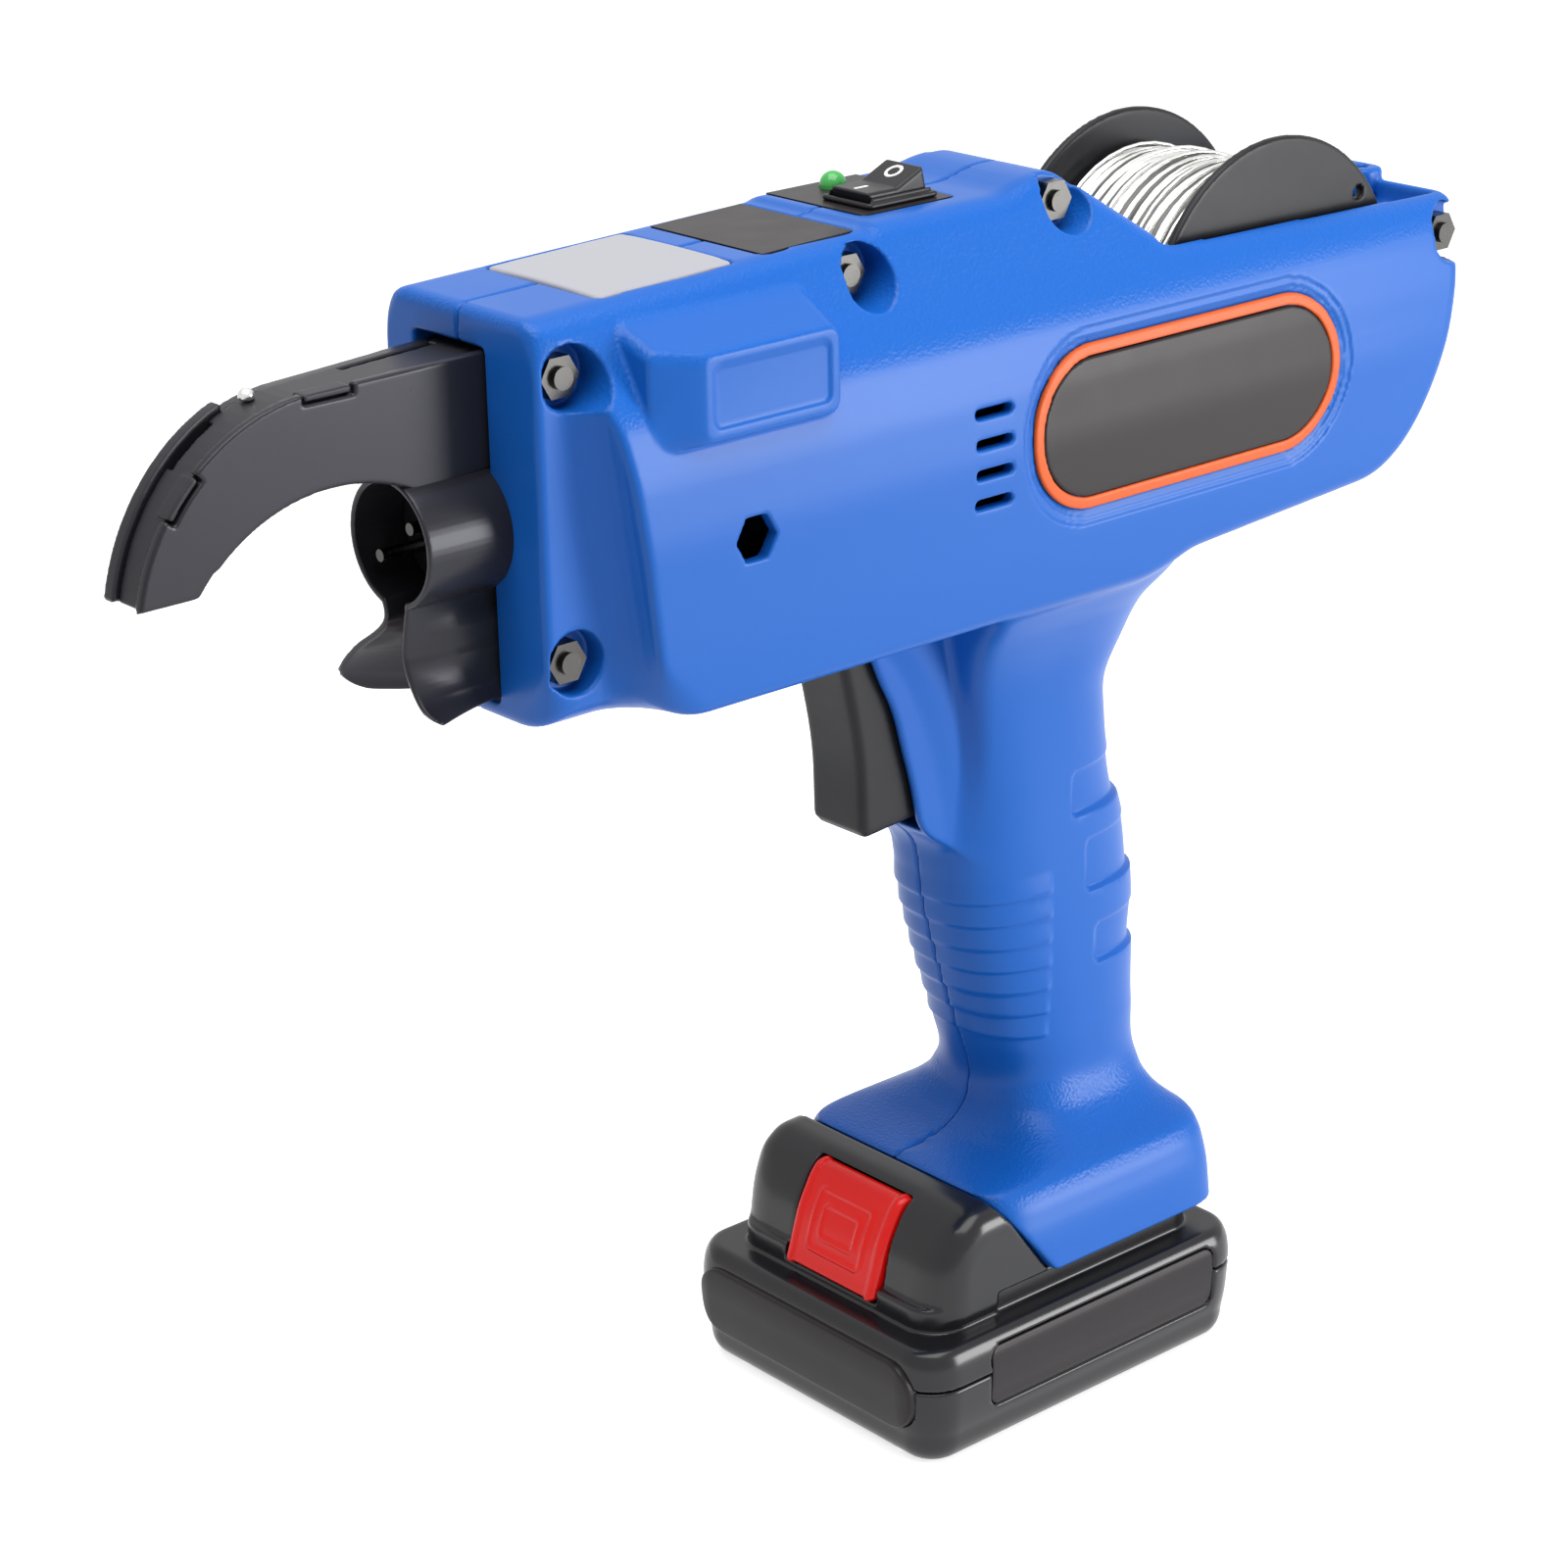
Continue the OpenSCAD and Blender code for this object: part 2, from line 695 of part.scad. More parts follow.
// Openings on the top and in the front face
module bezel_opening() {
  l = bezel_half_l - bezel_lip + seat;
  w = bezel_half_w - bezel_lip + seat;
  translate([bezel_x, bezel_y, 0]) block([-l, -w, deck_z - 2 * wall], [l, w, body_top]);
}
module top_cuts() {
  block([window_x0 - seat, -window_half_w - seat, window_z0],
    [window_x1 + seat, window_half_w + seat, body_top]);
  block([label_x0 - seat, -label_half_w - seat, label_z0],
    [label_x1 + seat, label_half_w + seat, body_top]);
  block([panel_x0 - seat, panel_y0 - seat, deck_z - panel_t], [panel_x1 + seat, panel_y1 + seat, body_top]);
  translate([lamp_x, lamp_y, 0]) rod_z(deck_z - 2 * wall, body_top, lamp_r + seat);
  bezel_opening();
}
module front_mouth() {
  block([body_x0 - over, -mouth_near, mouth_z0], [body_x0 + wall + over, mouth_far, mouth_z1]);
  translate([0, axis_y, axis_z]) rod_x(body_x0 - over, body_x0 + wall + over, guide_r + gap);
}
module tube_hole() {
  translate([0, wire_y, wire_z]) rod_x(bay_wall_x - over, spool_x, tube_r + fit);
}
// Lowest points of the recesses under the window and the label, on the sloping top
function top_at(x) = front_top + (x - body_x0) * top_slope;
window_z0 = top_at(window_x0) - window_t;
label_z0 = top_at(label_x0) - label_t;

module half_housing(side) {
  $fn = shell_fn;
  difference() {
    union() {
      difference() {
        union() {
          housing_outer();
          if (side < 0) mirror([0, 1, 0]) raised_cover();
        }
        hollow();
        if (side < 0) mirror([0, 1, 0]) cover_hollow();
      }
      mirror([0, side < 0 ? 1 : 0, 0]) {
        inner_seats(side);
        if (side > 0) board_posts();
      }
    }
    mirror([0, side < 0 ? 1 : 0, 0]) side_cuts(side);
    top_cuts();
    front_mouth();
    tube_hole();
    if (side < 0) translate([hex_x, 0, hex_z])
      rotate([90, 0, 0]) cylinder(h = cover_y, r = hex_flat / sqrt(3), $fn = 6);
    translate([-half_space / 2, side < 0 ? 0 : -half_space, 0]) cube(half_space);
  }
}
module raised_cover() {
  r = cover_round;
  across(cover_root, cover_y - r / 3) round_rect(cover_x0, cover_z0, cover_x1, cover_z1, r);
  across(cover_root + over, cover_y)
    round_rect(cover_x0 + r / 3, cover_z0 + r / 3, cover_x1 - r / 3, cover_z1 - r / 3, r);
}
module cover_hollow() {
  block([cover_x0 + wall, cover_root - over, cover_z0 + wall],
    [cover_x1 - wall, cover_y - wall, cover_z1 - wall]);
}
module left_housing() {
  color(blue) half_housing(-1);
}
module right_housing() {
  color(blue) half_housing(1);
}

// Jaw outlines in the XZ plane
function arc(c, r, a0, a1) = [for (i = [0 : arc_steps]) let (a = a0 + (a1 - a0) * i / arc_steps)
  [c[0] + r * cos(a), c[1] + r * sin(a)]];
root_x = body_x0 + jaw_root;
function tip_angle() = 180 - asin((jaw_tip_z - bend_z) / bend_r);
function throat_angle() = 180 - asin((jaw_tip_z - throat_z) / throat_r);
module jaw_outline(inset) {
  r = bend_r - inset;
  polygon(concat(
    [[root_x, jaw_sole], [root_x, jaw_top - inset], [body_x0, jaw_top - inset]],
    arc([bend_x, bend_z], r, 97, tip_angle()),
    arc([throat_x, throat_z], throat_r, throat_angle(), 90),
    [[body_x0 - guide_len - gap, jaw_sole]]));
}
module jaw_screw_hole() {
  translate([screws[0][0], 0, screws[0][1]]) rod_y(-body_half_w, body_half_w, screw_r + seat);
}
// Slab between the near plate and the far plate, whose outer face leans in towards the tip
module far_slab(t0, t1) {
  translate([body_x0, near_y + jaw_w, 0]) rotate([0, 0, jaw_taper])
    block([-2 * jaw_reach, -t1, body_z0], [jaw_reach, -t0, body_top]);
}
module jaw_near_plate() {
  color(black_steel) difference() {
    across(near_y, near_y + near_plate_t) jaw_outline(0);
    jaw_screw_hole();
  }
}
module jaw_far_plate() {
  color(black_steel) difference() {
    intersection() {
      across(near_y, near_y + 2 * jaw_w) jaw_outline(0);
      far_slab(0, far_plate_t);
      block([tip_x - over, near_y, body_z0], [root_x, mouth_far - gap, body_top]);
    }
    jaw_screw_hole();
  }
}
module jaw_core() {
  color(black) difference() {
    intersection() {
      across(near_y + near_plate_t, near_y + 2 * jaw_w) jaw_outline(core_inset);
      far_slab(far_plate_t, 2 * jaw_w);
    }
    difference() {
      far_slab(far_plate_t, far_plate_t + groove_w);
      across(near_y - over, near_y + 2 * jaw_w) jaw_outline(core_inset + groove_d);
    }
    jaw_screw_hole();
    cutter_block(seat);
  }
}
cutter_x0 = -101;
cutter_len = 7;
cutter_h = 8;
cutter_w = 5;
module cutter_block(grow) {
  block([cutter_x0 - grow, wire_y - cutter_w / 2 - grow, wire_z - cutter_h / 2 - grow],
    [cutter_x0 + cutter_len + grow, wire_y + cutter_w / 2 + grow, wire_z + cutter_h / 2 + grow]);
}
module wire_cutter() {
  color(steel) difference() {
    cutter_block(0);
    translate([0, wire_y, wire_z]) rod_x(cutter_x0 - over, cutter_x0 + cutter_len + over, 2 * wire_r);
  }
}

// Lower guide: a keyhole tube whose slot opens into two flared lips
function lip_path(shares) = [for (s = shares) [axis_y + s[0] * lip_len, axis_z + s[1] * lip_len]];
function side_step(p, i, t) =
  let (a = p[max(i - 1, 0)], b = p[min(i + 1, len(p) - 1)], d = (b - a) / norm(b - a))
  p[i] + t * [-d[1], d[0]];
module strip(p, t) {
  n = len(p) - 1;
  polygon(concat([for (i = [0 : n]) side_step(p, i, t / 2)],
    [for (i = [n : -1 : 0]) side_step(p, i, -t / 2)]));
}
module lower_guide() {
  color(black_steel) {
    difference() {
      translate([0, axis_y, axis_z]) difference() {
        rod_x(body_x0 - guide_len, frame_x, guide_r);
        rod_x(body_x0 - guide_len - over, frame_x + over, guide_r - guide_t);
      }
      block([body_x0 - guide_len - over, axis_y - neck_half, axis_z - 2 * guide_r],
        [frame_x + over, axis_y + neck_half, axis_z]);
    }
    for (shares = [near_lip_shares, far_lip_shares])
      along(body_x0 - guide_len, body_x0 - gap) strip(lip_path(shares), guide_t);
  }
}

// Twister
head_x = body_x0 - head_gap;
module twist_head() {
  color(black_steel) translate([0, axis_y, axis_z]) difference() {
    rod_x(head_x - head_len, head_x, guide_r - guide_t - gap);
    rod_x(head_x - head_len - over, head_x + over, shaft_r + fit);
    rotate([pin_angle, 0, 0]) for (s = [-1, 1]) translate([0, s * pin_ring_r, 0])
      rod_x(head_x - head_len - over, head_x + over, pin_r + fit);
  }
}
module twist_pins() {
  color(steel) translate([0, axis_y, axis_z]) rotate([pin_angle, 0, 0])
    for (s = [-1, 1]) translate([0, s * pin_ring_r, 0])
      rod_x(body_x0 - guide_len + pin_back, head_x, pin_r);
}
module twist_shaft() {
  color(steel) translate([0, axis_y, axis_z]) rod_x(head_x - head_len, frame_x + frame_len - gap, shaft_r);
}
// Involute gear outline about the origin
function involute(a) = tan(a) - a * PI / 180;
pressure = 20;
backlash_share = 0.12;
root_share = 1.05;
tip_share = 0.8;
flank_steps = 4;
function half_tooth(r, rp, n) = let (rb = rp * cos(pressure), a = r > rb ? acos(rb / r) : 0)
  90 / n * (1 - backlash_share) + (involute(pressure) - involute(a)) * 180 / PI;
module gear_outline(n) {
  rp = gear_module * n / 2;
  r0 = rp - root_share * gear_module;
  r1 = rp + tip_share * gear_module;
  radii = [for (i = [0 : flank_steps]) r0 + (r1 - r0) * i / flank_steps];
  polygon([for (k = [0 : n - 1]) for (i = [0 : 2 * flank_steps + 1])
    let (up = i <= flank_steps, r = radii[up ? i : 2 * flank_steps + 1 - i],
      a = k * 360 / n + (up ? -1 : 1) * half_tooth(r, rp, n)) [r * cos(a), r * sin(a)]]);
}
gear_x = frame_x + (frame_len - gear_w) / 2;
module twist_gear() {
  color(steel) translate([0, axis_y, axis_z]) difference() {
    along(gear_x, gear_x + gear_w) rotate(-90) gear_outline(gear_teeth);
    rod_x(gear_x - over, gear_x + gear_w + over, shaft_r + fit);
  }
}
motor_shaft_r = 1.5;
module motor_pinion() {
  color(steel) translate([0, axis_y, motor_z]) difference() {
    along(gear_x, gear_x + gear_w) rotate(90 + 180 / pinion_teeth) gear_outline(pinion_teeth);
    rod_x(gear_x - over, gear_x + gear_w + over, motor_shaft_r + fit);
  }
}
module bearing(x) {
  color(steel) translate([0, axis_y, axis_z]) difference() {
    rod_x(x, x + bearing_w, bearing_r);
    rod_x(x - over, x + bearing_w + over, shaft_r + fit);
  }
}
module front_bearing() {
  bearing(frame_x);
}
module rear_bearing() {
  bearing(frame_x + frame_len - plate_t);
}
cheek_t = 3;
module drive_frame() {
  color(grey) difference() {
    union() {
      for (x = [frame_x, frame_x + frame_len - plate_t])
        block([x, axis_y - frame_half_w, frame_z0], [x + plate_t, axis_y + frame_half_w, frame_top]);
      for (y = [axis_y - frame_half_w, axis_y + frame_half_w - cheek_t])
        block([frame_x, y, frame_z0], [frame_x + frame_len, y + cheek_t, frame_top]);
    }
    translate([0, axis_y, axis_z]) rod_x(frame_x - over, frame_x + frame_len + over, bearing_r + fit);
    translate([0, axis_y, motor_z]) rod_x(gear_x, frame_x + frame_len + over, motor_shaft_r + gap);
  }
}
motor_cap = 3;
motor_neck_r = 5;
module twist_motor() {
  x0 = frame_x + frame_len;
  color(steel) translate([0, axis_y, motor_z]) {
    rod_x(x0, x0 + motor_len, motor_r);
    rod_x(x0 + motor_len, x0 + motor_len + motor_cap, motor_neck_r);
    rod_x(gear_x - motor_shaft_r, x0, motor_shaft_r);
  }
}

// Wire feed
feed_z = wire_z - wire_r - feed_r;
press_z = wire_z + wire_r + press_r;
roller_y0 = wire_y - roller_w / 2;
module feed_bracket() {
  color(grey) difference() {
    union() {
      block([frame_x + frame_len, bracket_y, bracket_z0],
        [feed_x + bracket_half_l, bracket_y + bracket_t, bracket_z1]);
      block([feed_x + bracket_half_l - clamp_len, wire_y - clamp_half, wire_z - clamp_half],
        [feed_x + bracket_half_l, bracket_y, wire_z + clamp_half]);
    }
    translate([feed_x, bracket_y, feed_z]) rod_y(-over, bracket_t + over, feed_shaft_r + gap);
    translate([feed_x, bracket_y, press_z]) rod_y(-over, bracket_t + over, feed_shaft_r + fit);
    translate([0, wire_y, wire_z]) rod_x(feed_x + bracket_half_l - clamp_len - over, spool_x, tube_r + fit);
  }
}
module feed_motor() {
  y0 = bracket_y + bracket_t;
  color(steel) translate([feed_x, 0, feed_z]) {
    rod_y(y0, y0 + feed_motor_len, feed_motor_r);
    rod_y(roller_y0 - feed_shaft_r, y0, feed_shaft_r);
  }
}
module roller(z, r) {
  translate([feed_x, 0, z]) difference() {
    rod_y(roller_y0, roller_y0 + roller_w, r);
    rod_y(roller_y0 - over, roller_y0 + roller_w + over, feed_shaft_r + fit);
  }
}
module feed_roller() {
  color(steel) roller(feed_z, feed_r);
}
module pressure_roller() {
  color(steel) roller(press_z, press_r);
}
module roller_pin() {
  color(steel) translate([feed_x, 0, press_z])
    rod_y(roller_y0 - feed_shaft_r, bracket_y + bracket_t, feed_shaft_r);
}
module wire_guide_tube() {
  x0 = feed_x + bracket_half_l - clamp_len;
  color(steel) translate([0, wire_y, wire_z]) difference() {
    rod_x(x0, spool_x - bay_r - over, tube_r);
    rod_x(x0 - over, spool_x, tube_bore);
  }
}

// Spool, its wire and its axle
module wire_spool() {
  color(black) translate([spool_x, 0, spool_z]) difference() {
    union() {
      rod_y(-spool_half_w, spool_half_w, hub_r);
      for (y = [-spool_half_w, spool_half_w - flange_t]) rod_y(y, y + flange_t, spool_r);
    }
    rod_y(-spool_half_w - over, spool_half_w + over, axle_r + 2 * seat);
  }
}
core_half_w = spool_half_w - flange_t - seat;
wind_rings = 24;
// The core stays inside the flat runs between the rings of the winding
core_r = wire_layer_r * cos(180 / wind_rings) - wire_turn_r - 2 * seat;
module wire_core() {
  color(steel) translate([spool_x, 0, spool_z]) difference() {
    rod_y(-core_half_w, core_half_w, core_r);
    rod_y(-core_half_w - over, core_half_w + over, hub_r + seat);
  }
}
// Outer layer of wire: one helix, with a straight run at each end
wind_sides = 6;
wind_half = core_half_w - wire_turn_r - seat;
function wind_at(i) = let (a = 360 * i / wind_rings, s = i / (wind_rings * wire_loops))
  [wire_layer_r * cos(a), wind_half * (2 * s - 1), wire_layer_r * sin(a)];
function wind_dir(i) = let (a = 360 * i / wind_rings) [-sin(a), 0, cos(a)];
function wind_out(i) = let (a = 360 * i / wind_rings) [cos(a), 0, sin(a)];
wind_last = wind_rings * wire_loops;
function wind_ring(c, i) = [for (k = [0 : wind_sides - 1]) let (b = 360 * k / wind_sides)
  c + wire_turn_r * (cos(b) * wind_out(i) + sin(b) * [0, 1, 0])];
wind_run = 2 * wire_turn_r;
wind_path_gap = min([for (i = [0 : wind_last - wind_rings]) norm(wind_at(i + wind_rings) - wind_at(i))])
  - 2 * wire_turn_r;
echo(least_gap_of_winding_to_itself = wind_path_gap);
module wire_winding() {
  rings = concat([wind_ring(wind_at(0) - wind_run * wind_dir(0), 0)],
    [for (i = [0 : wind_last]) wind_ring(wind_at(i), i)],
    [wind_ring(wind_at(wind_last) + wind_run * wind_dir(wind_last), wind_last)]);
  color(steel) translate([spool_x, 0, spool_z]) loft(rings);
}
module spool_axle() {
  color(black_steel) translate([spool_x, 0, spool_z])
    rod_y(-bay_half_w - axle_seat + seat, bay_half_w + axle_seat - seat, axle_r);
}

// Electronics
module control_board() {
  color(board_green) block([board_x0, board_y - board_t, board_z0], [board_x1, board_y, board_z1]);
}
// Relay, two capacitors and the power transistors on the board
board_part_shares = [[0.12, 0.15, 0.28, 0.3, 8], [0.12, 0.6, 0.16, 0.3, 7], [0.34, 0.6, 0.16, 0.3, 7],
  [0.62, 0.15, 0.2, 0.18, 5], [0.62, 0.5, 0.2, 0.18, 5]];
module board_parts() {
  l = board_x1 - board_x0;
  h = board_z1 - board_z0;
  color(black) for (s = board_part_shares)
    block([board_x0 + s[0] * l, board_y - board_t - s[4] * board_t / 2, board_z0 + s[1] * h],
      [board_x0 + (s[0] + s[2]) * l, board_y - board_t, board_z0 + (s[1] + s[3]) * h]);
}

// Top furniture
module window() {
  color(grey) across(-window_half_w, window_half_w) polygon([[window_x0, window_z0],
    [window_x1, window_z0], [window_x1, top_at(window_x1)], [window_x0, top_at(window_x0)]]);
}
module top_label() {
  color(black) across(-label_half_w, label_half_w) polygon([[label_x0, label_z0],
    [label_x1, label_z0], [label_x1, top_at(label_x1)], [label_x0, top_at(label_x0)]]);
}
module switch_panel() {
  color(black) difference() {
    block([panel_x0, panel_y0, deck_z - panel_t], [panel_x1, panel_y1, deck_z]);
    translate([lamp_x, lamp_y, 0]) rod_z(deck_z - 2 * wall, body_top, lamp_r + seat);
    bezel_opening();
  }
}
lamp_lip = 0.5;
module indicator_lamp() {
  color(green) translate([lamp_x, lamp_y, 0]) {
    rod_z(deck_z - lamp_len, deck_z + lamp_lip, lamp_r);
    translate([0, 0, deck_z + lamp_lip]) intersection() {
      sphere(lamp_r);
      rod_z(0, lamp_r, lamp_r);
    }
  }
}
well_half_l = rocker_half_l + 2 * gap;
well_half_w = rocker_half_w + gap;
module rocker_bezel() {
  l = bezel_half_l - bezel_lip;
  w = bezel_half_w - bezel_lip;
  color(black) translate([bezel_x, bezel_y, deck_z]) difference() {
    union() {
      block([-bezel_half_l, -bezel_half_w, 0], [bezel_half_l, bezel_half_w, bezel_t]);
      block([-l, -w, -bezel_depth], [l, w, 0]);
    }
    block([-well_half_l, -well_half_w, bezel_t - well_depth], [well_half_l, well_half_w, bezel_t + over]);
    translate([0, 0, rocker_pivot])
      rod_y(-rocker_half_w - pivot_reach - seat, rocker_half_w + pivot_reach + seat, pivot_r + fit);
  }
}
rocker_z = deck_z + rocker_pivot;
module rocker() {
  color(black) translate([bezel_x, bezel_y, rocker_z]) rotate([0, -rocker_tilt, 0])
    union() {
      across(-rocker_half_w, rocker_half_w)
        polygon([[-rocker_half_l, -rocker_root], [rocker_half_l, -rocker_root],
          [rocker_half_l, rocker_rise], [0, rocker_dip], [-rocker_half_l, rocker_rise]]);
      rod_y(-rocker_half_w - pivot_reach, rocker_half_w + pivot_reach, pivot_r);
    }
}

// Badges
module badge(side) {
  mirror([0, side < 0 ? 1 : 0, 0]) across(badge_floor, badge_floor + badge_t)
    stadium(badge_x0 + border_w + seat, badge_x1 - border_w - seat, badge_z, badge_r - border_w - seat);
}
module badge_border(side) {
  mirror([0, side < 0 ? 1 : 0, 0]) across(badge_floor, badge_floor + badge_t) difference() {
    stadium(badge_x0, badge_x1, badge_z, badge_r);
    stadium(badge_x0 + border_w, badge_x1 - border_w, badge_z, badge_r - border_w);
  }
}
module left_badge() {
  color(black) badge(-1);
}
module left_badge_border() {
  color(orange) badge_border(-1);
}
module right_badge() {
  color(black) badge(1);
}
module right_badge_border() {
  color(orange) badge_border(1);
}

// Trigger, its spring and its switch
module trigger() {
  front = [for (i = [0 : trigger_steps]) let (s = i / trigger_steps)
    [trigger_front_low + s * (trigger_front_top - trigger_front_low) + trigger_hollow * sin(180 * s),
      trigger_z0 + s * (trigger_z1 - trigger_z0)]];
  color(black) across(-trigger_half_w, trigger_half_w)
    polygon(concat([[trigger_back, trigger_z1], [trigger_back, trigger_z0]], front));
}
// Coil spring along X between two faces
module coil_x(x0, x1, r, turns) {
  n = turns * spring_rings;
  w = spring_wire_r;
  run = x1 - x0 - 2 * w;
  loft([for (i = [0 : n]) let (a = 360 * i / spring_rings, o = [0, cos(a), sin(a)],
    c = [x0 + w + run * i / n, r * cos(a), r * sin(a)])
    [for (k = [0 : wind_sides - 1]) let (b = 360 * k / wind_sides)
      c + w * (cos(b) * o - sin(b) * [1, 0, 0])]]);
}
module trigger_spring() {
  color(steel) translate([0, 0, trigger_spring_z])
    coil_x(trigger_back + seat, switch_x0 - seat, spring_r, spring_turns);
}
module trigger_switch() {
  color(black) block([switch_x0, -switch_half_w, switch_z0], [switch_x1, switch_half_w, switch_z1]);
}

// Battery terminals in the foot, and the leads to the switch
module terminal_block() {
  x0 = tower_x1 + gap;
  color(black) difference() {
    block([x0, -block_half_w, battery_deck + rail_z0],
      [x0 + block_t, block_half_w, battery_deck + rail_z0 + block_h]);
    for (y = blade_y) block([x0 - over, y - blade_t / 2, battery_deck + slot_z0 + over],
      [x0 + block_t / 2, y + blade_t / 2, battery_deck + slot_z0 + over + blade_h]);
  }
}
module terminal_blades() {
  z0 = battery_deck + slot_z0 + over;
  color(copper) for (y = blade_y) block([tower_x1 - slot_len + over, y - blade_t / 2, z0],
    [tower_x1 + gap + block_t / 2, y + blade_t / 2, z0 + blade_h]);
}
lead_r = 1.2;
lead_sides = 8;
lead_half_gap = 4;
lead_points = [[33.5, 45.3], [31, 52], [27, 62], [22, 90], [9, 112], [8, 127.9]];
function lead_ring(p, y) = [for (k = [0 : lead_sides - 1]) let (b = 360 * k / lead_sides)
  [p[0] + lead_r * cos(b), y + lead_r * sin(b), p[1]]];
module power_leads() {
  for (y = [-lead_half_gap, lead_half_gap]) color(y < 0 ? red : black)
    loft([for (i = [0 : len(lead_points) - 1]) lead_ring(lead_points[i], y)]);
}

// Battery cases
module belt_plan() {
  round_rect(-belt_front, -belt_half_w, belt_rear, belt_half_w, belt_corner_r);
}
module battery_lower_case() {
  color(black) difference() {
    union() {
      difference() {
        intersection() {
          linear_extrude(belt_z) belt_plan();
          along(-belt_front, belt_rear) polygon([[-base_half_w, 0], [base_half_w, 0],
            [belt_half_w - belt_low_inset, belt_low_z], [belt_half_w, belt_z], [-belt_half_w, belt_z],
            [belt_low_inset - belt_half_w, belt_low_z]]);
          across(-belt_half_w, belt_half_w) polygon([[-base_half_l, 0], [base_half_l, 0],
            [belt_rear - belt_low_inset, belt_low_z], [belt_rear, belt_z], [-belt_front, belt_z],
            [belt_low_inset - belt_front, belt_low_z]]);
        }
        block([case_wall - base_half_l, case_wall - base_half_w, case_wall],
          [base_half_l - case_wall, base_half_w - case_wall, belt_z + over]);
      }
      for (x = [-screw_x, screw_x], y = [-screw_y, screw_y])
        translate([x, y, 0]) rod_z(case_wall, belt_z, batt_boss_r);
    }
    for (x = [-screw_x, screw_x], y = [-screw_y, screw_y]) translate([x, y, 0]) {
      rod_z(-over, belt_z + over, batt_screw_r + seat);
      rod_z(-over, batt_head_t + seat, batt_head_r + seat);
    }
    label_recess();
  }
}
module label_recess() {
  mirrored_pair() block([side_label_x0 - seat, belt_half_w - side_label_t, side_label_z0 - seat],
    [side_label_x1 + seat, belt_half_w + over, side_label_z1 + seat]);
  block([-belt_front - over, -front_plate_half_w - seat, front_plate_z0 - seat],
    [front_plate_t - belt_front, front_plate_half_w + seat, front_plate_z1 + seat]);
}
function hump_point(s) = [-s[0] * hump_front, hump_root_z + s[1] * hump_h];
module hump() {
  run = foot_toe_x - foot_tip_x;
  intersection() {
    across(-hump_half_w, hump_half_w) polygon(concat([for (s = hump_shares) hump_point(s)],
      [[foot_tip_x - deck_gap, foot_tip_z - deck_gap], [foot_toe_x - 2 * deck_gap, battery_deck],
        [foot_toe_x - 2 * deck_gap, hump_root_z]]));
    linear_extrude(body_z0)
      round_rect(-hump_front, -hump_half_w, foot_toe_x + hump_corner_r, hump_half_w, hump_corner_r);
  }
}
module battery_upper_case() {
  color(black) difference() {
    union() {
      intersection() {
        translate([0, 0, belt_z]) linear_extrude(battery_deck - belt_z) belt_plan();
        along(-belt_front, belt_rear) polygon([[-belt_half_w, belt_z], [belt_half_w, belt_z],
          [belt_half_w - belt_up_inset, belt_up_z], [belt_half_w - shoulder_inset, shoulder_z],
          [belt_half_w - deck_inset, battery_deck], [deck_inset - belt_half_w, battery_deck],
          [shoulder_inset - belt_half_w, shoulder_z], [belt_up_inset - belt_half_w, belt_up_z]]);
        across(-belt_half_w, belt_half_w) polygon([[-belt_front, belt_z], [belt_rear, belt_z],
          [belt_rear - belt_up_inset, belt_up_z], [belt_rear - shoulder_inset, shoulder_z],
          [belt_rear - deck_inset, battery_deck], [deck_inset - belt_front, battery_deck],
          [shoulder_inset - belt_front, shoulder_z], [belt_up_inset - belt_front, belt_up_z]]);
      }
      hump();
      block([tower_x0, -tower_half_w, battery_deck - over],
        [tower_x1, tower_half_w, battery_deck + tower_h]);
    }
    block([case_wall - base_half_l, case_wall - base_half_w, belt_z - over],
      [base_half_l - case_wall, base_half_w - case_wall, battery_deck - case_wall]);
    mirrored_pair() block([tower_x0 - over, tower_half_w - rail_depth, battery_deck + rail_z0],
      [tower_x1 + over, tower_half_w + over, battery_deck + rail_z0 + rail_h]);
    for (y = blade_y) block([tower_x1 - slot_len, y - slot_w / 2, battery_deck + slot_z0],
      [tower_x1 + over, y + slot_w / 2, battery_deck + slot_z0 + slot_h]);
    latch_pocket();
    label_recess();
    for (x = [-screw_x, screw_x], y = [-screw_y, screw_y]) translate([x, y, 0])
      rod_z(belt_z - over, battery_deck - case_wall, batt_screw_r + seat);
  }
}
module latch_pocket() {
  w = latch_half_w + gap;
  block([-belt_front, -w, hump_root_z + gap], [-pocket_back, w, pocket_roof_z]);
  block([-belt_front, -w, pocket_roof_z - over], [-pocket_roof_back, w, hump_root_z + hump_h + over]);
}
module battery_latch() {
  color(red) across(-latch_half_w, latch_half_w) polygon([for (s = latch_shares)
    hump_point(s) - [latch_out, 0] + [0, gap]]);
}
latch_back_share = 0.81;
latch_back = hump_front * latch_back_share + latch_out;
module latch_spring() {
  color(steel) translate([0, 0, latch_spring_z])
    coil_x(-latch_back + seat, -pocket_back - seat, latch_spring_r, latch_spring_turns);
}
module battery_front_plate() {
  color(black) intersection() {
    block([-belt_front, -front_plate_half_w, front_plate_z0],
      [front_plate_t - belt_front - seat / 2, front_plate_half_w, front_plate_z1]);
    linear_extrude(body_z0) belt_plan();
  }
}
module battery_side_labels() {
  color(black) mirrored_pair() block([side_label_x0, belt_half_w - side_label_t + seat / 2, side_label_z0],
    [side_label_x1, belt_half_w, side_label_z1]);
}
module battery_cells() {
  color(green) for (y = [-cell_pitch, 0, cell_pitch])
    translate([0, y, cell_z]) rod_x(-cell_len / 2, cell_len / 2, cell_r);
}
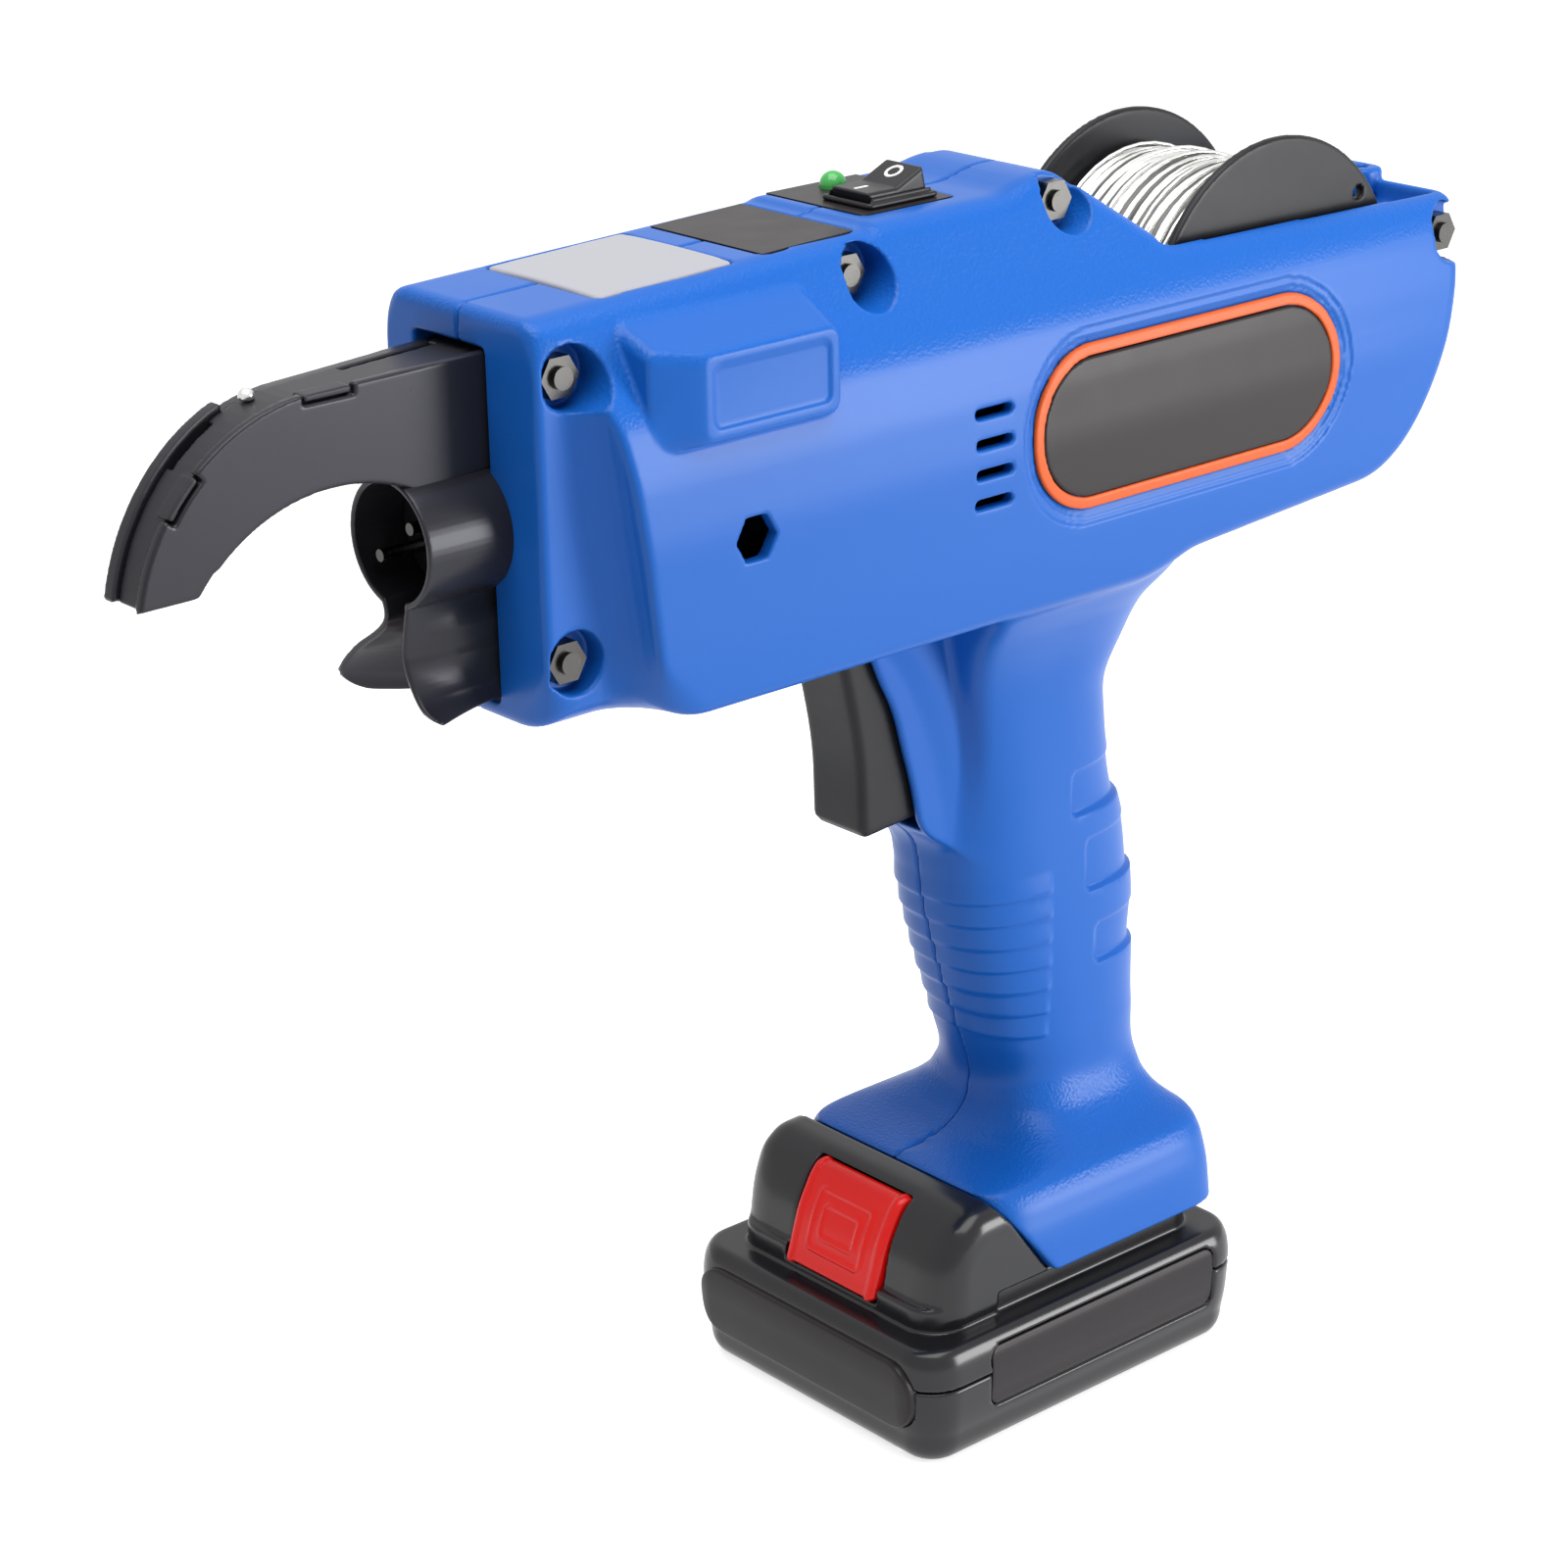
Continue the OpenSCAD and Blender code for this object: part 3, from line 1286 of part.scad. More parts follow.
module cell_holder() {
  half_w = 1.5 * cell_pitch + holder_margin;
  color(black) for (x = [-holder_x - holder_t, holder_x]) difference() {
    block([x, -half_w, case_wall], [x + holder_t, half_w, cell_z + cell_r * holder_share]);
    for (y = [-cell_pitch, 0, cell_pitch]) translate([0, y, cell_z])
      rod_x(x - over, x + holder_t + over, cell_r + fit);
  }
}
module battery_board() {
  color(board_green) block([-pcb_half_l, -pcb_half_w, cell_z + cell_r + seat],
    [pcb_half_l, pcb_half_w, cell_z + cell_r + seat + pcb_t]);
}
module battery_contacts() {
  color(copper) for (y = blade_y, s = [-1, 1]) {
    y0 = y + s * slot_w / 2 - (s > 0 ? contact_t : 0);
    block([tower_x1 - slot_len, y0, battery_deck + slot_z0 + over],
      [tower_x1 - over, y0 + contact_t, battery_deck + slot_z0 + over + blade_h]);
  }
}
module battery_screws() {
  color(steel) for (x = [-screw_x, screw_x], y = [-screw_y, screw_y]) translate([x, y, 0]) {
    rod_z(seat, batt_head_t, batt_head_r);
    rod_z(seat, shoulder_z - 2 * case_wall, batt_screw_r);
  }
}

// Fasteners
module case_screws() {
  color(steel) for (i = [0 : len(screws) - 1]) translate([screws[i][0], 0, screws[i][1]]) {
    rod_y(-nut_seats[i] - nut_t - screw_end, nut_seats[i] + seat, screw_r);
    rod_y(nut_seats[i] + seat, nut_seats[i] + nut_t, nut_flat / 2);
  }
}
module case_nuts() {
  color(steel) for (i = [0 : len(screws) - 1]) translate([screws[i][0], 0, screws[i][1]]) difference() {
    translate([0, -nut_seats[i], 0]) rotate([90, 0, 0])
      cylinder(h = nut_t, r = nut_flat / sqrt(3), $fn = 6);
    rod_y(-nut_seats[i] - nut_t - over, -nut_seats[i] + over, screw_r + fit);
  }
}
module handle_screws() {
  color(steel) for (i = [0, 1]) translate(handle_places[i]) {
    rod_y(handle_tip_y, handle_head_y + seat, handle_screw_r);
    rod_y(handle_head_y + seat, handle_head_y + handle_head_t, handle_head_r);
  }
}

// One line per piece
left_housing();
right_housing();
jaw_near_plate();
jaw_far_plate();
jaw_core();
lower_guide();
wire_cutter();
twist_head();
twist_pins();
twist_shaft();
twist_gear();
front_bearing();
rear_bearing();
drive_frame();
motor_pinion();
twist_motor();
feed_bracket();
feed_motor();
feed_roller();
pressure_roller();
roller_pin();
wire_guide_tube();
wire_spool();
wire_core();
wire_winding();
spool_axle();
control_board();
board_parts();
window();
top_label();
switch_panel();
indicator_lamp();
rocker_bezel();
rocker();
left_badge();
left_badge_border();
right_badge();
right_badge_border();
trigger();
trigger_spring();
trigger_switch();
terminal_block();
terminal_blades();
power_leads();
battery_upper_case();
battery_lower_case();
battery_cells();
cell_holder();
battery_board();
battery_contacts();
battery_latch();
latch_spring();
battery_front_plate();
battery_side_labels();
battery_screws();
case_screws();
case_nuts();
handle_screws();
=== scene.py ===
"""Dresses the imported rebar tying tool: moulded, pressed and wound pieces, their materials and a plain studio.

Lengths are millimetres in the part's own frame: X runs from the jaw to the tail, Y to the right side, Z up.
A piece with soft forms is a distance field, negative inside, that is sampled on a grid and skinned.
"""

import json
import math
from functools import reduce
from types import SimpleNamespace

import bpy
import numpy as np
from mathutils import Matrix, Vector

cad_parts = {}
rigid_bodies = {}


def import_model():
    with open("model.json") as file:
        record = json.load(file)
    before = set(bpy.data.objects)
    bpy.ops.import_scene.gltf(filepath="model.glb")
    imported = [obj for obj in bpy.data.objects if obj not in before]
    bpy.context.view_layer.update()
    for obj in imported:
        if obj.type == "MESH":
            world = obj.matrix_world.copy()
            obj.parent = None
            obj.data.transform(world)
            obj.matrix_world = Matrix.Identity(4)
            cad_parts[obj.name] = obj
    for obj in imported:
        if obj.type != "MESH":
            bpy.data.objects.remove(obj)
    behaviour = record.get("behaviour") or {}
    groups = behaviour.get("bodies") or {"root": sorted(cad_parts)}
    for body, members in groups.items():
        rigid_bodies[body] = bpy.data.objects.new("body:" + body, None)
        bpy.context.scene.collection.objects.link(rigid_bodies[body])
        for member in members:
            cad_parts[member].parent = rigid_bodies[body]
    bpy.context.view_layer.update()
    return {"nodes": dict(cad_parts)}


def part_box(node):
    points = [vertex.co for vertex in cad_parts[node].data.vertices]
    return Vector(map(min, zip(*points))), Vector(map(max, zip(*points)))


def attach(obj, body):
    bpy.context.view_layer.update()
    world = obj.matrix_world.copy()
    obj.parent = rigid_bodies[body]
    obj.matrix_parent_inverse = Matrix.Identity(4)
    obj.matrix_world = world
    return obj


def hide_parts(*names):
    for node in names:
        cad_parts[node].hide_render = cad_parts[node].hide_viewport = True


MM = 0.001

for spare in list(bpy.data.objects):
    bpy.data.objects.remove(spare)
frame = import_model()


def box_of(node):
    """Lowest and highest corner of a CAD node."""
    low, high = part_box(node)
    return np.array(low) / MM, np.array(high) / MM


# Body, shared by the housings and all that follows their skin
SHELL_LOW, SHELL_HIGH = box_of("left_housing")
BODY_FRONT, BODY_REAR = SHELL_LOW[0], SHELL_HIGH[0]
BODY_UNDER, RIDGE_TOP = 166.5, SHELL_HIGH[2]
BODY_H = RIDGE_TOP - BODY_UNDER
HALF_W = 32.5
WALL = 2.8
DECK_TOP, FRONT_TOP = 243.2, 239.8
BELLY_TURN, BELLY_RISE = (20, BODY_UNDER), (33.6, 170.4)
TAIL_START, TAIL_UNDER, TAIL_IN = (79.5, 173.6), 219.6, 2.7
RIM_FRONT, RIM_REAR = (31.5, 229.5), (BODY_REAR - 0.2, 227.2)
RIDGE_X, DECK_X = (4, 9.5), (-36, -4)
DECK_STEP = (-37.6, DECK_TOP - 0.8)
SIDE_ROUND, END_ROUND, CROWN_ROUND = 2.5, 3, 3.5
COVE_ROUND, UNDER_ROUND, UNDER_FADE = 1.6, 9, 14
BOSS_HALF = 0.82 * HALF_W
SECTION_SHARES = [  # half width and height
    (0.9, 0), (0.945, 0.025), (0.968, 0.145), (0.985, 0.296), (1, 0.421),
    (0.985, 0.572), (0.923, 0.698), (0.775, 0.792), (0.594, 0.922), (0.486, 1)]
NOSE_HALF, NOSE_LEN, NOSE_COVE, NOSE_STEEP, NOSE_LEAN = 21.5, 12.5, 10.5, 0.57, 0.146
AXIS_Y, AXIS_Z = -1.8, 202

# Grip and foot
FOOT_Z, GRIP_H = SHELL_LOW[2], 141.7
GRIP_DEPTH, GRIP_HALF = 40.5, 32.8
GRIP_RINGS = [  # height share, front and rear share of the depth, half width share, squareness
    (0, -0.472, 1.07, 1, 9), (0.08, -0.472, 1.075, 0.95, 8), (0.11, -0.472, 1.07, 0.905, 7.5),
    (0.124, -0.472, 1.065, 0.862, 7), (0.129, -0.47, 1.06, 0.832, 6.8), (0.137, -0.22, 1.035, 0.775, 5.8),
    (0.15, -0.085, 1.005, 0.695, 4.6), (0.171, 0.005, 0.985, 0.6, 3.6), (0.199, 0.038, 0.982, 0.537, 3),
    (0.287, -0.025, 0.988, 0.512, 2.6), (0.386, -0.14, 0.993, 0.518, 2.6), (0.505, -0.255, 0.978, 0.518, 2.6),
    (0.584, -0.3, 0.914, 0.512, 2.6), (0.661, -0.309, 0.825, 0.506, 2.6), (0.732, -0.358, 0.78, 0.512, 2.7),
    (0.795, -0.42, 0.77, 0.53, 2.8), (0.852, -0.506, 0.854, 0.579, 3), (0.908, -0.63, 0.92, 0.686, 3.2),
    (0.972, -0.889, 1.05, 0.854, 4), (1, -0.938, 1.1, 0.869, 4)]
GRIP_OVER, GRIP_EDGE, GRIP_ROOT = 6, 0.8, 3.5  # reach, edge and fillet at the body
FOOT_LIP = (-19.1, 48.8)
FOOT_TOE = (-5.1, FOOT_Z)
TOWER_LOW, TOWER_HIGH, TOWER_TOP = (-4.6, -22), (30, 22), 42  # the battery's tower, inside the foot

# Spool bay
SPOOL_LOW, SPOOL_HIGH = box_of("wire_spool")
SPOOL_X, SPOOL_Z = (SPOOL_LOW[0] + SPOOL_HIGH[0]) / 2, (SPOOL_LOW[2] + SPOOL_HIGH[2]) / 2
SPOOL_R, SPOOL_HALF = (SPOOL_HIGH[0] - SPOOL_LOW[0]) / 2, SPOOL_HIGH[1]
BAY_R, BAY_HALF = 35.2, 23.6

# Case screws: place in X and Z, and how far from the middle each nut sits
SCREWS = [(-109.5, 229.8, 17), (-110.3, 180, 17), (-42.8, 235.1, 14), (8.4, 240.1, 14), (104.8, 220, 25)]


class Grid:
    """Sample points in a box, as three arrays that broadcast together."""

    def __init__(self, low, high, step):
        step = step
        self.step = step
        self.low = np.array(low, float) - 2 * step
        count = np.ceil((np.array(high, float) + 2 * step - self.low) / step).astype(int) + 1
        axes = [(low + step * np.arange(n)).astype(np.float32) for low, n in zip(self.low, count)]
        self.x, self.y, self.z = np.meshgrid(*axes, indexing="ij", sparse=True)
        self.shape = tuple(count)


def smax(a, b, soft):
    """The larger of two fields, with a round of about soft where they meet."""
    gap = np.maximum(soft - abs(a - b), 0)
    return np.maximum(a, b) + gap * gap / (4 * soft)


def smin(a, b, soft):
    """The smaller of two fields, with a fillet of about soft where they meet."""
    return -smax(-a, -b, soft)


def both(*forms):
    """What all of the forms share."""
    return reduce(np.maximum, forms)


def either(*forms):
    """What any of the forms fills."""
    return reduce(np.minimum, forms)


def without(form, *cuts):
    """What is left of a form when others are cut away."""
    return np.maximum(form, -either(*cuts))


def slab(v, low, high):
    """Distance to the space between two planes."""
    return np.maximum(low - v, v - high)


def rod(a, b, centre, radius):
    """Distance to a round bar seen end on."""
    return np.hypot(a - centre[0], b - centre[1]) - radius


def pad(a, b, low, high, radius):
    """Distance to a rectangle with round corners."""
    da = abs(a - (low[0] + high[0]) / 2) - (high[0] - low[0]) / 2 + radius
    db = abs(b - (low[1] + high[1]) / 2) - (high[1] - low[1]) / 2 + radius
    return np.hypot(np.maximum(da, 0), np.maximum(db, 0)) + np.minimum(np.maximum(da, db), 0) - radius


def squared_gap(a, b, start, end):
    """Squared distance to the straight stretch between two points."""
    (pa, pb), (qa, qb) = start, end
    ea, eb = qa - pa, qb - pb
    share = np.clip(((a - pa) * ea + (b - pb) * eb) / (ea * ea + eb * eb + 1e-9), 0, 1)
    return (a - pa - ea * share) ** 2 + (b - pb - eb * share) ** 2


def outline(a, b, points):
    """Distance to a closed outline, negative inside."""
    points = np.array(points, np.float32)
    shape = np.broadcast_shapes(a.shape, b.shape)
    best = np.full(shape, 1e9, np.float32)
    inside = np.zeros(shape, bool)
    for (pa, pb), (qa, qb) in zip(points, np.roll(points, -1, axis=0)):
        best = np.minimum(best, squared_gap(a, b, (pa, pb), (qa, qb)))
        if qb != pb:
            inside ^= ((pb > b) != (qb > b)) & (a < pa + (b - pb) * (qa - pa) / (qb - pb))
    return np.where(inside, -1, 1) * np.sqrt(best)


def softened(points, radius):
    """A closed outline with each corner turned into a short curve."""
    points = [np.array(p, float) for p in points]
    out = []
    for i, corner in enumerate(points):
        before, after = points[i - 1] - corner, points[(i + 1) % len(points)] - corner
        cut = min(radius, 0.45 * np.linalg.norm(before), 0.45 * np.linalg.norm(after))
        start = corner + before * cut / np.linalg.norm(before)
        end = corner + after * cut / np.linalg.norm(after)
        for t in np.linspace(0, 1, 6):
            out.append((1 - t) ** 2 * start + 2 * t * (1 - t) * corner + t * t * end)
    return out


def arc(centre, radius, start, end, count=12):
    """Points on an arc, with angles in degrees."""
    return [(centre[0] + radius * math.cos(a), centre[1] + radius * math.sin(a))
            for a in np.radians(np.linspace(start, end, count))]


def along(z, heights, values):
    """A smooth curve through values at rising heights."""
    heights, values = np.array(heights, float), np.array(values, float)
    slopes = np.gradient(values, heights)
    i = np.clip(np.searchsorted(heights, z) - 1, 0, len(heights) - 2)
    span = heights[i + 1] - heights[i]
    t = np.clip((z - heights[i]) / span, 0, 1)
    value = (1 + 2 * t) * (1 - t) ** 2 * values[i] + t * t * (3 - 2 * t) * values[i + 1]
    value += span * (t * (1 - t) ** 2 * slopes[i] + t * t * (t - 1) * slopes[i + 1])
    return value.astype(np.float32)


def curve(points, count=6):
    """An open path drawn smoothly through a few points."""
    points = np.array(points, float)
    ends = np.vstack([2 * points[0] - points[1], points, 2 * points[-1] - points[-2]])
    out = []
    for a, b, c, d in zip(ends, ends[1:], ends[2:], ends[3:]):
        for t in np.linspace(0, 1, count, endpoint=False):
            bend = (2 * a - 5 * b + 4 * c - d) * t * t + (3 * b - a - 3 * c + d) * t ** 3
            out.append(0.5 * (2 * b + (c - a) * t + bend))
    return out + [points[-1]]


def sheet(a, b, points, thick):
    """Distance to a bent sheet seen end on, from the path of its middle."""
    shape = np.broadcast_shapes(a.shape, b.shape)
    best = np.full(shape, 1e9, np.float32)
    for start, end in zip(points, points[1:]):
        best = np.minimum(best, squared_gap(a, b, start, end))
    return np.sqrt(best) - thick / 2


def smooth(v, low, high):
    """Rises from 0 to 1 between two values."""
    t = np.clip((v - low) / (high - low), 0, 1)
    return t * t * (3 - 2 * t)


CORNERS = np.array([(i, j, k) for i in (0, 1) for j in (0, 1) for k in (0, 1)])
EDGES = [(a, b) for a in range(8) for b in range(a + 1, 8) if abs(CORNERS[a] - CORNERS[b]).sum() == 1]


def skin_points(field, grid):
    """Corners and four-sided faces on a field's zero surface, one corner in each cell it crosses."""
    inside = field < 0
    cells = tuple(n - 1 for n in field.shape)
    views = [tuple(slice(c, c + n) for c, n in zip(corner, cells)) for corner in CORNERS]
    full = sum(inside[view].astype(np.int8) for view in views)
    places = np.argwhere((full > 0) & (full < 8))
    values = np.stack([field[view][tuple(places.T)] for view in views], axis=1)
    total, count = np.zeros((len(places), 3)), np.zeros(len(places))
    for a, b in EDGES:
        crossed = (values[:, a] < 0) != (values[:, b] < 0)
        share = values[crossed, a] / (values[crossed, a] - values[crossed, b])
        total[crossed] += CORNERS[a] + share[:, None] * (CORNERS[b] - CORNERS[a])
        count[crossed] += 1
    points = grid.low + (places + total / count[:, None]) * grid.step
    index = np.full(cells, -1, np.int32)
    index[tuple(places.T)] = np.arange(len(places))
    faces = []
    for axis in range(3):
        u, v = (axis + 1) % 3, (axis + 2) % 3
        lower, upper = [slice(None)] * 3, [slice(None)] * 3
        lower[axis], upper[axis] = slice(0, -1), slice(1, None)
        for side in (u, v):
            lower[side] = upper[side] = slice(1, -1)
        before, after = inside[tuple(lower)], inside[tuple(upper)]
        at = np.argwhere(before != after)
        out = before[tuple(at.T)]
        at[:, u] += 1
        at[:, v] += 1
        ring = []
        for du, dv in ((1, 1), (0, 1), (0, 0), (1, 0)):
            near = at.copy()
            near[:, u] -= du
            near[:, v] -= dv
            ring.append(index[tuple(near.T)])
        ring = np.stack(ring, axis=1)
        ring[~out] = ring[~out][:, ::-1]
        faces.append(ring)
    return points, np.concatenate(faces)


def sample(field, grid, points):
    """The field's value between the grid's samples."""
    place = np.clip((points - grid.low) / grid.step, 0, np.array(field.shape) - 1.001)
    cell = place.astype(int)
    share = place - cell
    total = np.zeros(len(points))
    for corner in CORNERS:
        weight = np.prod(np.where(corner, share, 1 - share), axis=1)
        total += weight * field[tuple((cell + corner).T)]
    return total


def directions(field, grid, points):
    """The outward direction of a field's surface at points near it."""
    slope = np.stack([sample(field, grid, points + reach) - sample(field, grid, points - reach)
                      for reach in 0.6 * grid.step * np.eye(3)], axis=1)
    return slope / np.maximum(np.linalg.norm(slope, axis=1, keepdims=True), 1e-9)


def dress(obj, body, slot, *nodes):
    """Gives a piece its material, its body and the CAD nodes that it stands for."""
    obj.data.materials.append(MATERIALS[slot])
    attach(obj, body)
    if nodes:
        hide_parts(*nodes)


def add_mesh(name, points, faces):
    """A smooth mesh object from points in millimetres."""
    mesh = bpy.data.meshes.new(name)
    mesh.from_pydata((np.asarray(points) * MM).tolist(), [], np.asarray(faces).tolist())
    mesh.polygons.foreach_set("use_smooth", np.ones(len(mesh.polygons), bool))
    obj = bpy.data.objects.new(name, mesh)
    bpy.context.scene.collection.objects.link(obj)
    return obj


def mould(name, grid, field, most_faces, body, slot, *nodes, marks=None):
    """A dressed mesh on the zero surface of a field. marks(points, normals) gives each corner's grain."""
    field = np.broadcast_to(field, grid.shape).astype(np.float32)
    obj = add_mesh(name, *skin_points(field, grid))
    if 2 * len(obj.data.polygons) > most_faces:
        fewer = obj.modifiers.new("fewer", "DECIMATE")
        fewer.ratio = most_faces / (2 * len(obj.data.polygons))
        shown = obj.evaluated_get(bpy.context.evaluated_depsgraph_get())
        mesh = bpy.data.meshes.new_from_object(shown)
        obj.modifiers.clear()
        obj.data = mesh
        mesh.name = name
    mesh = obj.data
    points = np.empty(3 * len(mesh.vertices), np.float32)
    mesh.vertices.foreach_get("co", points)
    points = points.reshape(-1, 3) / MM
    normals = directions(field, grid, points)
    mesh.polygons.foreach_set("use_smooth", np.ones(len(mesh.polygons), bool))
    mesh.normals_split_custom_set_from_vertices(normals.tolist())
    if marks:
        values = mesh.attributes.new("grain", "FLOAT", "POINT")
        values.data.foreach_set("value", marks(points, normals).astype(np.float32))
    dress(obj, body, slot, *nodes)


# Materials
SHINE = 0.25


def material(name, colour, rough, metal=0.0, shine=SHINE):
    """A plain finish, its values set on the shader."""
    made = bpy.data.materials.new(name)
    made.use_nodes = True
    shader = made.node_tree.nodes["Principled BSDF"]
    shader.inputs["Base Color"].default_value = (*colour, 1)
    shader.inputs["Roughness"].default_value = rough
    shader.inputs["Metallic"].default_value = metal
    shader.inputs["Specular IOR Level"].default_value = shine
    return made


def grained(made, size, depth):
    """Adds a fine moulded grain where the mesh's grain value says."""
    tree = made.node_tree
    place = tree.nodes.new("ShaderNodeTexCoord")
    cells = tree.nodes.new("ShaderNodeTexVoronoi")
    cells.feature = "SMOOTH_F1"
    cells.inputs["Scale"].default_value = 1 / (size * MM)
    bump = tree.nodes.new("ShaderNodeBump")
    bump.inputs["Distance"].default_value = depth * MM
    tree.links.new(place.outputs["Object"], cells.inputs["Vector"])
    tree.links.new(cells.outputs["Distance"], bump.inputs["Height"])
    mask = tree.nodes.new("ShaderNodeAttribute")
    mask.attribute_name = "grain"
    tree.links.new(mask.outputs["Fac"], bump.inputs["Strength"])
    tree.links.new(bump.outputs["Normal"], tree.nodes["Principled BSDF"].inputs["Normal"])
    return made


def cloudy(made, size, low, high):
    """Varies the roughness a little, as handled steel does."""
    tree = made.node_tree
    place = tree.nodes.new("ShaderNodeTexCoord")
    noise = tree.nodes.new("ShaderNodeTexNoise")
    noise.inputs["Scale"].default_value = 1 / (size * MM)
    spread = tree.nodes.new("ShaderNodeMapRange")
    spread.inputs["To Min"].default_value = low
    spread.inputs["To Max"].default_value = high
    tree.links.new(place.outputs["Object"], noise.inputs["Vector"])
    tree.links.new(noise.outputs["Fac"], spread.inputs["Value"])
    tree.links.new(spread.outputs["Result"], tree.nodes["Principled BSDF"].inputs["Roughness"])
    return made


FINISHES = {  # colour, metallic share, size of the patches, lowest and highest roughness
    "jaw_steel": ((0.026, 0.026, 0.032), 0.4, 12, 0.26, 0.31),
    "core_steel": ((0.028, 0.028, 0.034), 0.4, 12, 0.38, 0.44),
    "bright_steel": ((0.72, 0.72, 0.70), 1, 2, 0.22, 0.34),
    # Very dark steel for the case nuts, case screws and twist pins: painted shade of the pockets and of the
    # tube they sit in
    "steel_in_painted_shade": ((0.07, 0.068, 0.065), 1, 2, 0.2, 0.32),
    "spring_steel": ((0.5, 0.5, 0.5), 1, 2, 0.26, 0.36),
    "contact_brass": ((0.62, 0.42, 0.16), 1, 2, 0.26, 0.36),
    "tie_wire": ((0.78, 0.78, 0.76), 1, 2, 0.18, 0.3),
    # Dark grey for the wire's core: painted shade in the gaps between the turns of wire
    "wire_core_painted_shade": ((0.34, 0.34, 0.34), 1, 2, 0.35, 0.45),
    "frame_alloy": ((0.42, 0.42, 0.43), 1, 3, 0.4, 0.5),
    "motor_can": ((0.32, 0.32, 0.33), 1, 3, 0.3, 0.4),
    "spool_black": ((0.009, 0.009, 0.011), 0, 5, 0.34, 0.44),
    "black_plastic": ((0.012, 0.012, 0.014), 0, 4, 0.45, 0.55),
    "switch_black": ((0.012, 0.012, 0.014), 0, 4, 0.3, 0.4),
    "trigger_black": ((0.007, 0.007, 0.009), 0, 6, 0.4, 0.5),
    "label_black": ((0.014, 0.011, 0.012), 0, 6, 0.34, 0.42),
    "battery_black": ((0.010, 0.010, 0.012), 0, 8, 0.2, 0.26),
    "badge_orange": ((0.66, 0.105, 0.018), 0, 6, 0.36, 0.44),
    "latch_red": ((0.92, 0.007, 0.004), 0, 6, 0.18, 0.24),
    "circuit_board": ((0.02, 0.12, 0.05), 0, 3, 0.45, 0.55),
    "lead_rubber": ((0.02, 0.02, 0.02), 0, 4, 0.55, 0.65),
    "cell_wrap": ((0.05, 0.20, 0.32), 0, 4, 0.3, 0.4),
}
SHINY = {"battery_black": 0.4, "latch_red": 0.3}
# Nodes given the darker finishes above instead of their own: painted shade, not the parts' own colour
PAINTED_SHADE_FINISHES = dict.fromkeys(("case_nuts", "case_screws", "twist_pins"), "steel_in_painted_shade") | {"wire_core": "wire_core_painted_shade"}
MATERIALS = {
    "housing_blue": grained(material("housing_blue", (0.006, 0.106, 0.46), 0.36), 0.6, 0.1),
    "window_grey": material("window_grey", (0.38, 0.38, 0.42), 0.32),
    "lamp_green": material("lamp_green", (0.05, 0.42, 0.08), 0.12, 0, 0.5),
    "mark_white": material("mark_white", (0.82, 0.82, 0.80), 0.5),
}
for name, (colour, metal, size, low, high) in FINISHES.items():
    plain = material(name, colour, (low + high) / 2, metal, SHINY.get(name, SHINE))
    MATERIALS[name] = cloudy(plain, size, low, high)

for node, solid in frame["nodes"].items():
    named = solid.data.materials[0].name.split(".")[0]
    solid.data.materials.clear()
    solid.data.materials.append(MATERIALS[PAINTED_SHADE_FINISHES.get(node, named)])


# Body skin
def tail_points(count=14):
    """The tail's underside, a quarter of an ellipse from the belly to the rim."""
    run, rise = BODY_REAR - TAIL_IN - TAIL_START[0], TAIL_UNDER - TAIL_START[1]
    turns = np.linspace(0, math.pi / 2, count)
    return [(TAIL_START[0] + run * math.sin(t), TAIL_UNDER - rise * math.cos(t)) for t in turns]


def body_side():
    """The body's outline seen from the left."""
    points = [(BODY_FRONT, BODY_UNDER), BELLY_TURN, BELLY_RISE, *tail_points(), RIM_REAR, RIM_FRONT]
    points += [(RIDGE_X[1], RIDGE_TOP), (RIDGE_X[0], RIDGE_TOP), (DECK_X[1], DECK_TOP), (DECK_X[0], DECK_TOP)]
    return softened([*points, DECK_STEP, (BODY_FRONT, FRONT_TOP)], SIDE_ROUND)


def body_end():
    """The body's outline seen from the front, right half."""
    points = [(HALF_W * w, BODY_UNDER + BODY_H * h) for w, h in SECTION_SHARES]
    return softened([(-HALF_W, BODY_UNDER), *points, (-HALF_W, RIDGE_TOP)], END_ROUND)


def nose_plan():
    """The body seen from above, with a steep cove behind the narrow nose."""
    turn = BODY_FRONT + NOSE_LEN
    cove = [(turn + NOSE_STEEP * (x - turn), y)
            for x, y in arc((turn, NOSE_HALF + NOSE_COVE), NOSE_COVE, -90, 0, 8)]
    far = 5 * HALF_W
    return [(-far, -far), (-far, NOSE_HALF), *cove, (cove[-1][0], far), (far, far), (far, -far)]


def body_field(g):
    """The closed outer form of the body, without the grip."""
    side = outline(g.x, g.z, body_side())
    end = outline(abs(g.y), g.z, body_end())
    form = smax(side, end, CROWN_ROUND)
    corner = COVE_ROUND + UNDER_ROUND * (1 - smooth(g.z, BODY_UNDER, BODY_UNDER + UNDER_FADE))
    leaning = g.x + NOSE_LEAN * (g.z - BODY_UNDER)
    form = smax(form, outline(leaning, abs(g.y), nose_plan()), corner)
    x, z, _ = SCREWS[-1]
    boss = both(rod(g.x, g.z, (x, z), BODY_REAR - x), abs(g.y) - BOSS_HALF)
    return smin(form, boss, 1.5)


